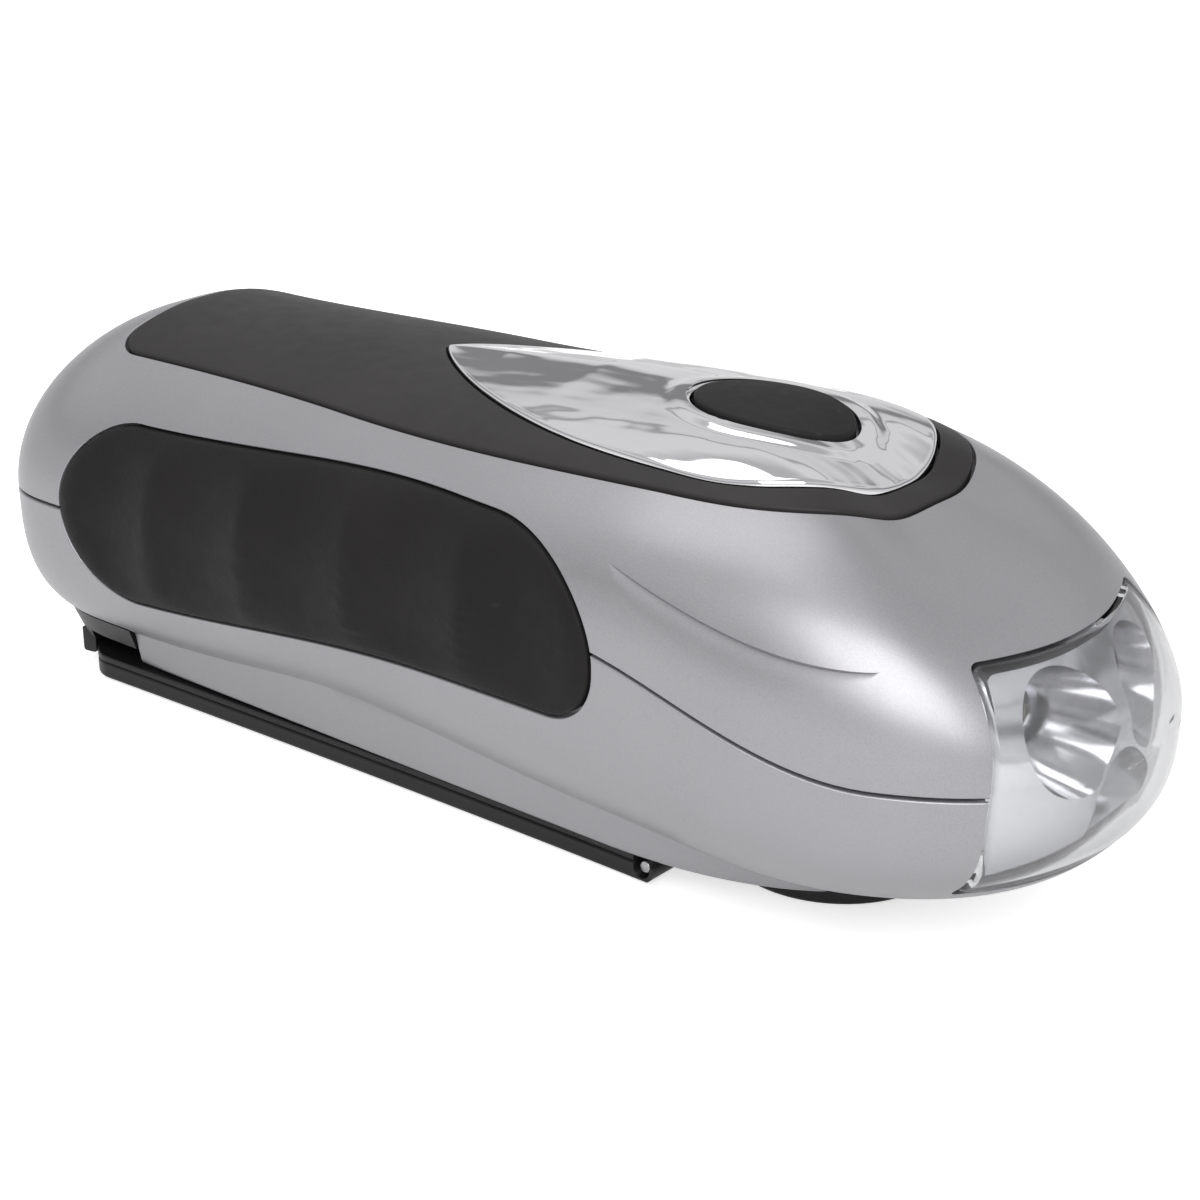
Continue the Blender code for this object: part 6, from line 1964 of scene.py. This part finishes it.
    def knob(self) -> tuple[Piece, Piece]:
        """Winding knob, a ring round its rivet, and the rivet."""
        tail = Tail()
        top = tail.lever_thickness + tail.knob_proud
        low = self.knob_floor + GAP
        head_low = top - self.rivet_head - GAP
        inner, head = self.rivet_radius + GAP, self.rivet_head_radius + GAP
        profile = rounded([(head, head_low - GAP), (head, top),
                           (tail.knob_radius, top), (tail.knob_radius, low),
                           (inner, low), (inner, head_low - GAP), (head, head_low - GAP)],
                          self.knob_fillets, 6)[:-1]
        place = (tail.hub_x - tail.orbit(), 0, 0)
        knob = Piece.of("black_winding_knob", lathe_grid(profile, place, 96), ring=True)
        head_top = head_low + self.rivet_head
        profile = rounded([(0, low), (self.rivet_radius, low), (self.rivet_radius, head_low),
                           (self.rivet_head_radius, head_low), (self.rivet_head_radius, head_top),
                           (0, head_top)], [0, 0, 0, 0, self.rivet_fillet, 0], 6)
        return knob, Piece.of("steel_knob_rivet", lathe_grid(profile, place, 64))

    def build(self) -> None:
        """Hub, pin, lever, knob and rivet."""
        self.hub().smooth(30).dress(BLACK, "black_plastic", "crank", "crank_hub")
        self.pin().smooth().dress(STEEL, "steel", "crank", "hinge_pin")
        self.lever().smooth(30).dress(BLACK, "black_plastic", "lever", "crank_lever")
        knob, rivet = self.knob()
        knob.smooth().dress(BLACK, "black_plastic", "knob", "winding_knob")
        rivet.smooth().dress(STEEL, "steel", "lever", "knob_rivet")


@dataclass
class Works:
    """Inner pieces whose solids stay and get a finish."""

    finishes: dict[str, Finish] = field(default_factory=lambda: {
        "led_board": BOARD, "main_board": BOARD, "tact_switch": BLACK, "battery_pack": SLEEVE,
        "gear_plate": IRON, "stator_core": IRON, "generator_coil": COPPER, "hub_screw": STEEL,
        "drive_gear": NYLON, "idler_gear": NYLON, "rotor_pinion": NYLON, "rotor_magnet": FERRITE})

    def build(self, nodes: dict[str, bpy.types.Object]) -> None:
        """Give each kept node its finish.

        Args:
            nodes: node objects by name.
        """
        for name, finish in self.finishes.items():
            mesh = nodes[name].data
            mesh.materials.clear()
            mesh.materials.append(finish.material())
            LOG.info("%s keeps its solid", name)


@dataclass(frozen=True)
class Softbox:
    """Soft lamp that faces the torch: its place, its width and height, and its power."""

    name: str
    place: tuple[float, float, float]
    size: tuple[float, float]
    watts: float
    mirrored: bool = True

    def hang(self, aim: tuple[float, float, float]) -> None:
        """Add the lamp to the scene.

        Args:
            aim: point that it faces.
        """
        light = bpy.data.lights.new(self.name, "AREA")
        light.shape = "RECTANGLE"
        light.size, light.size_y = self.size
        light.energy = self.watts
        lamp = bpy.data.objects.new(self.name, light)
        lamp.location = self.place
        lamp.visible_glossy = self.mirrored
        lamp.rotation_euler = (Vector(aim) - Vector(self.place)).to_track_quat("-Z", "Y").to_euler()
        bpy.context.scene.collection.objects.link(lamp)


SOFTBOXES = (Softbox("side_softbox", (0.31, -0.35, 0.36), (0.42, 0.42), 2.1),
             Softbox("overhead_softbox", (-0.15, -0.02, 0.60), (0.50, 0.40), 1.0),
             Softbox("rear_softbox", (-0.35, 0.40, 0.20), (0.50, 0.22), 0.8, mirrored=False))


@dataclass
class Studio:
    """Floor, soft lamps, world and camera."""

    azimuth: float = math.radians(40)
    elevation: float = math.radians(22)
    aim: tuple[float, float, float] = (0.0053, 0.0, 0.0183)
    distance: float = 0.24075
    lens: float = 72.0
    sensor: float = 36.0
    clip: float = 0.01
    floor_z: float = -0.0002
    floor_half: float = 4.0
    floor_cells: int = 8
    floor_grey: float = 0.88
    floor_roughness: float = 0.8
    floor_lift: float = 0.62
    floor_mirrored: float = 0.20
    scattered: float = 0.75
    blue: float = 1.01
    greys: tuple[tuple[float, float], ...] = (
        (0.0, 0.80), (0.24, 0.76), (0.32, 0.28), (0.40, 0.28), (0.47, 0.72), (0.55, 0.80), (0.57, 0.32),
        (0.59, 0.82), (0.68, 0.84), (0.78, 0.56), (1.0, 0.54))

    def floor(self) -> None:
        """Wide pale floor that is lifted for camera rays, and a little for mirrored and refracted ones."""
        line = steps(self.floor_cells, -self.floor_half, self.floor_half)
        x, y = np.meshgrid(line, line, indexing="ij")
        points = np.stack([x, y, np.full_like(x, self.floor_z)], -1)
        index = np.arange(x.size).reshape(x.shape)
        faces = np.stack([index[:-1, :-1], index[1:, :-1], index[1:, 1:], index[:-1, 1:]], -1).reshape(-1, 4)
        mesh = bpy.data.meshes.new("studio_floor")
        mesh.from_pydata(points.reshape(-1, 3).tolist(), [], faces.tolist())
        floor = bpy.data.objects.new("studio_floor", mesh)
        bpy.context.scene.collection.objects.link(floor)
        material = bpy.data.materials.new("studio_white")
        material.use_nodes = True
        tree = material.node_tree
        lift = ranged(tree, self.seen(tree, "Is Camera Ray"), 0.0, self.floor_lift)
        bent = self.seen(tree, "Is Glossy Ray", "Is Transmission Ray")
        mirrored = ranged(tree, bent, 0.0, self.floor_mirrored)
        plug(tree.nodes["Principled BSDF"], {
            "Base Color": (self.floor_grey, self.floor_grey, self.floor_grey, 1),
            "Roughness": self.floor_roughness, "Emission Color": (1, 1, 1, 1),
            "Emission Strength": reckoned(tree, "MAXIMUM", lift, mirrored)})
        mesh.materials.append(material)

    def seen(self, tree: Tree, *names: str) -> Socket:
        """One for rays of the named kinds, and zero for the rest.

        Args:
            tree: node tree.
            names: outputs of a Light Path node.

        Returns:
            The value.
        """
        path = tree.nodes.new("ShaderNodeLightPath")
        value = path.outputs[names[0]]
        for name in names[1:]:
            value = reckoned(tree, "MAXIMUM", value, path.outputs[name])
        return value

    def world(self) -> None:
        """White backdrop. Other rays meet pale walls, a dark gap, a bright strip and a grey ceiling."""
        world = bpy.data.worlds.new("studio")
        bpy.context.scene.world = world
        world.use_nodes = True
        tree = world.node_tree
        place = tree.nodes.new("ShaderNodeTexCoord").outputs["Generated"]
        height = add(tree, "SeparateXYZ", {"Vector": place}).outputs["Z"]
        ramp = add(tree, "ValToRGB", {"Fac": height})
        stops = ramp.color_ramp.elements
        for index, (level, grey) in enumerate(self.greys):
            stop = stops[index] if index < 2 else stops.new(level)
            stop.position = level
            stop.color = (grey, grey, grey * self.blue, 1)
        backdrop = tinted(tree, self.seen(tree, "Is Camera Ray"), ramp.outputs["Color"], (1, 1, 1))
        sharp = self.seen(tree, "Is Camera Ray", "Is Glossy Ray", "Is Transmission Ray")
        strength = ranged(tree, sharp, self.scattered, 1.0)
        plug(tree.nodes["Background"], {"Color": backdrop, "Strength": strength})

    def camera(self) -> None:
        """Camera at the photograph's angle."""
        back = Vector((math.sin(self.azimuth) * math.cos(self.elevation),
                       -math.cos(self.azimuth) * math.cos(self.elevation), math.sin(self.elevation)))
        data = bpy.data.cameras.new("photo_camera")
        data.lens = self.lens
        data.sensor_width = self.sensor
        data.clip_start = self.clip
        camera = bpy.data.objects.new("photo_camera", data)
        camera.location = Vector(self.aim) + back * self.distance
        camera.rotation_mode = "QUATERNION"
        camera.rotation_quaternion = back.to_track_quat("Z", "Y")
        bpy.context.scene.collection.objects.link(camera)
        bpy.context.scene.camera = camera

    def build(self) -> None:
        """Stage, light and camera."""
        bpy.context.scene.view_settings.view_transform = "Standard"
        self.camera()
        self.floor()
        self.world()
        for softbox in SOFTBOXES:
            softbox.hang(self.aim)


def main() -> None:
    """Load the frame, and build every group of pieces."""
    logging.basicConfig(level=logging.INFO, format="%(name)s %(message)s")
    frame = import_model()
    Studio().build()
    Shells().build()
    Grips().build()
    TopTrim().build()
    Front().build()
    Tail().build()
    Screws().build()
    Crank().build()
    Works().build(frame["nodes"])


if __name__ == "__main__":
    main()
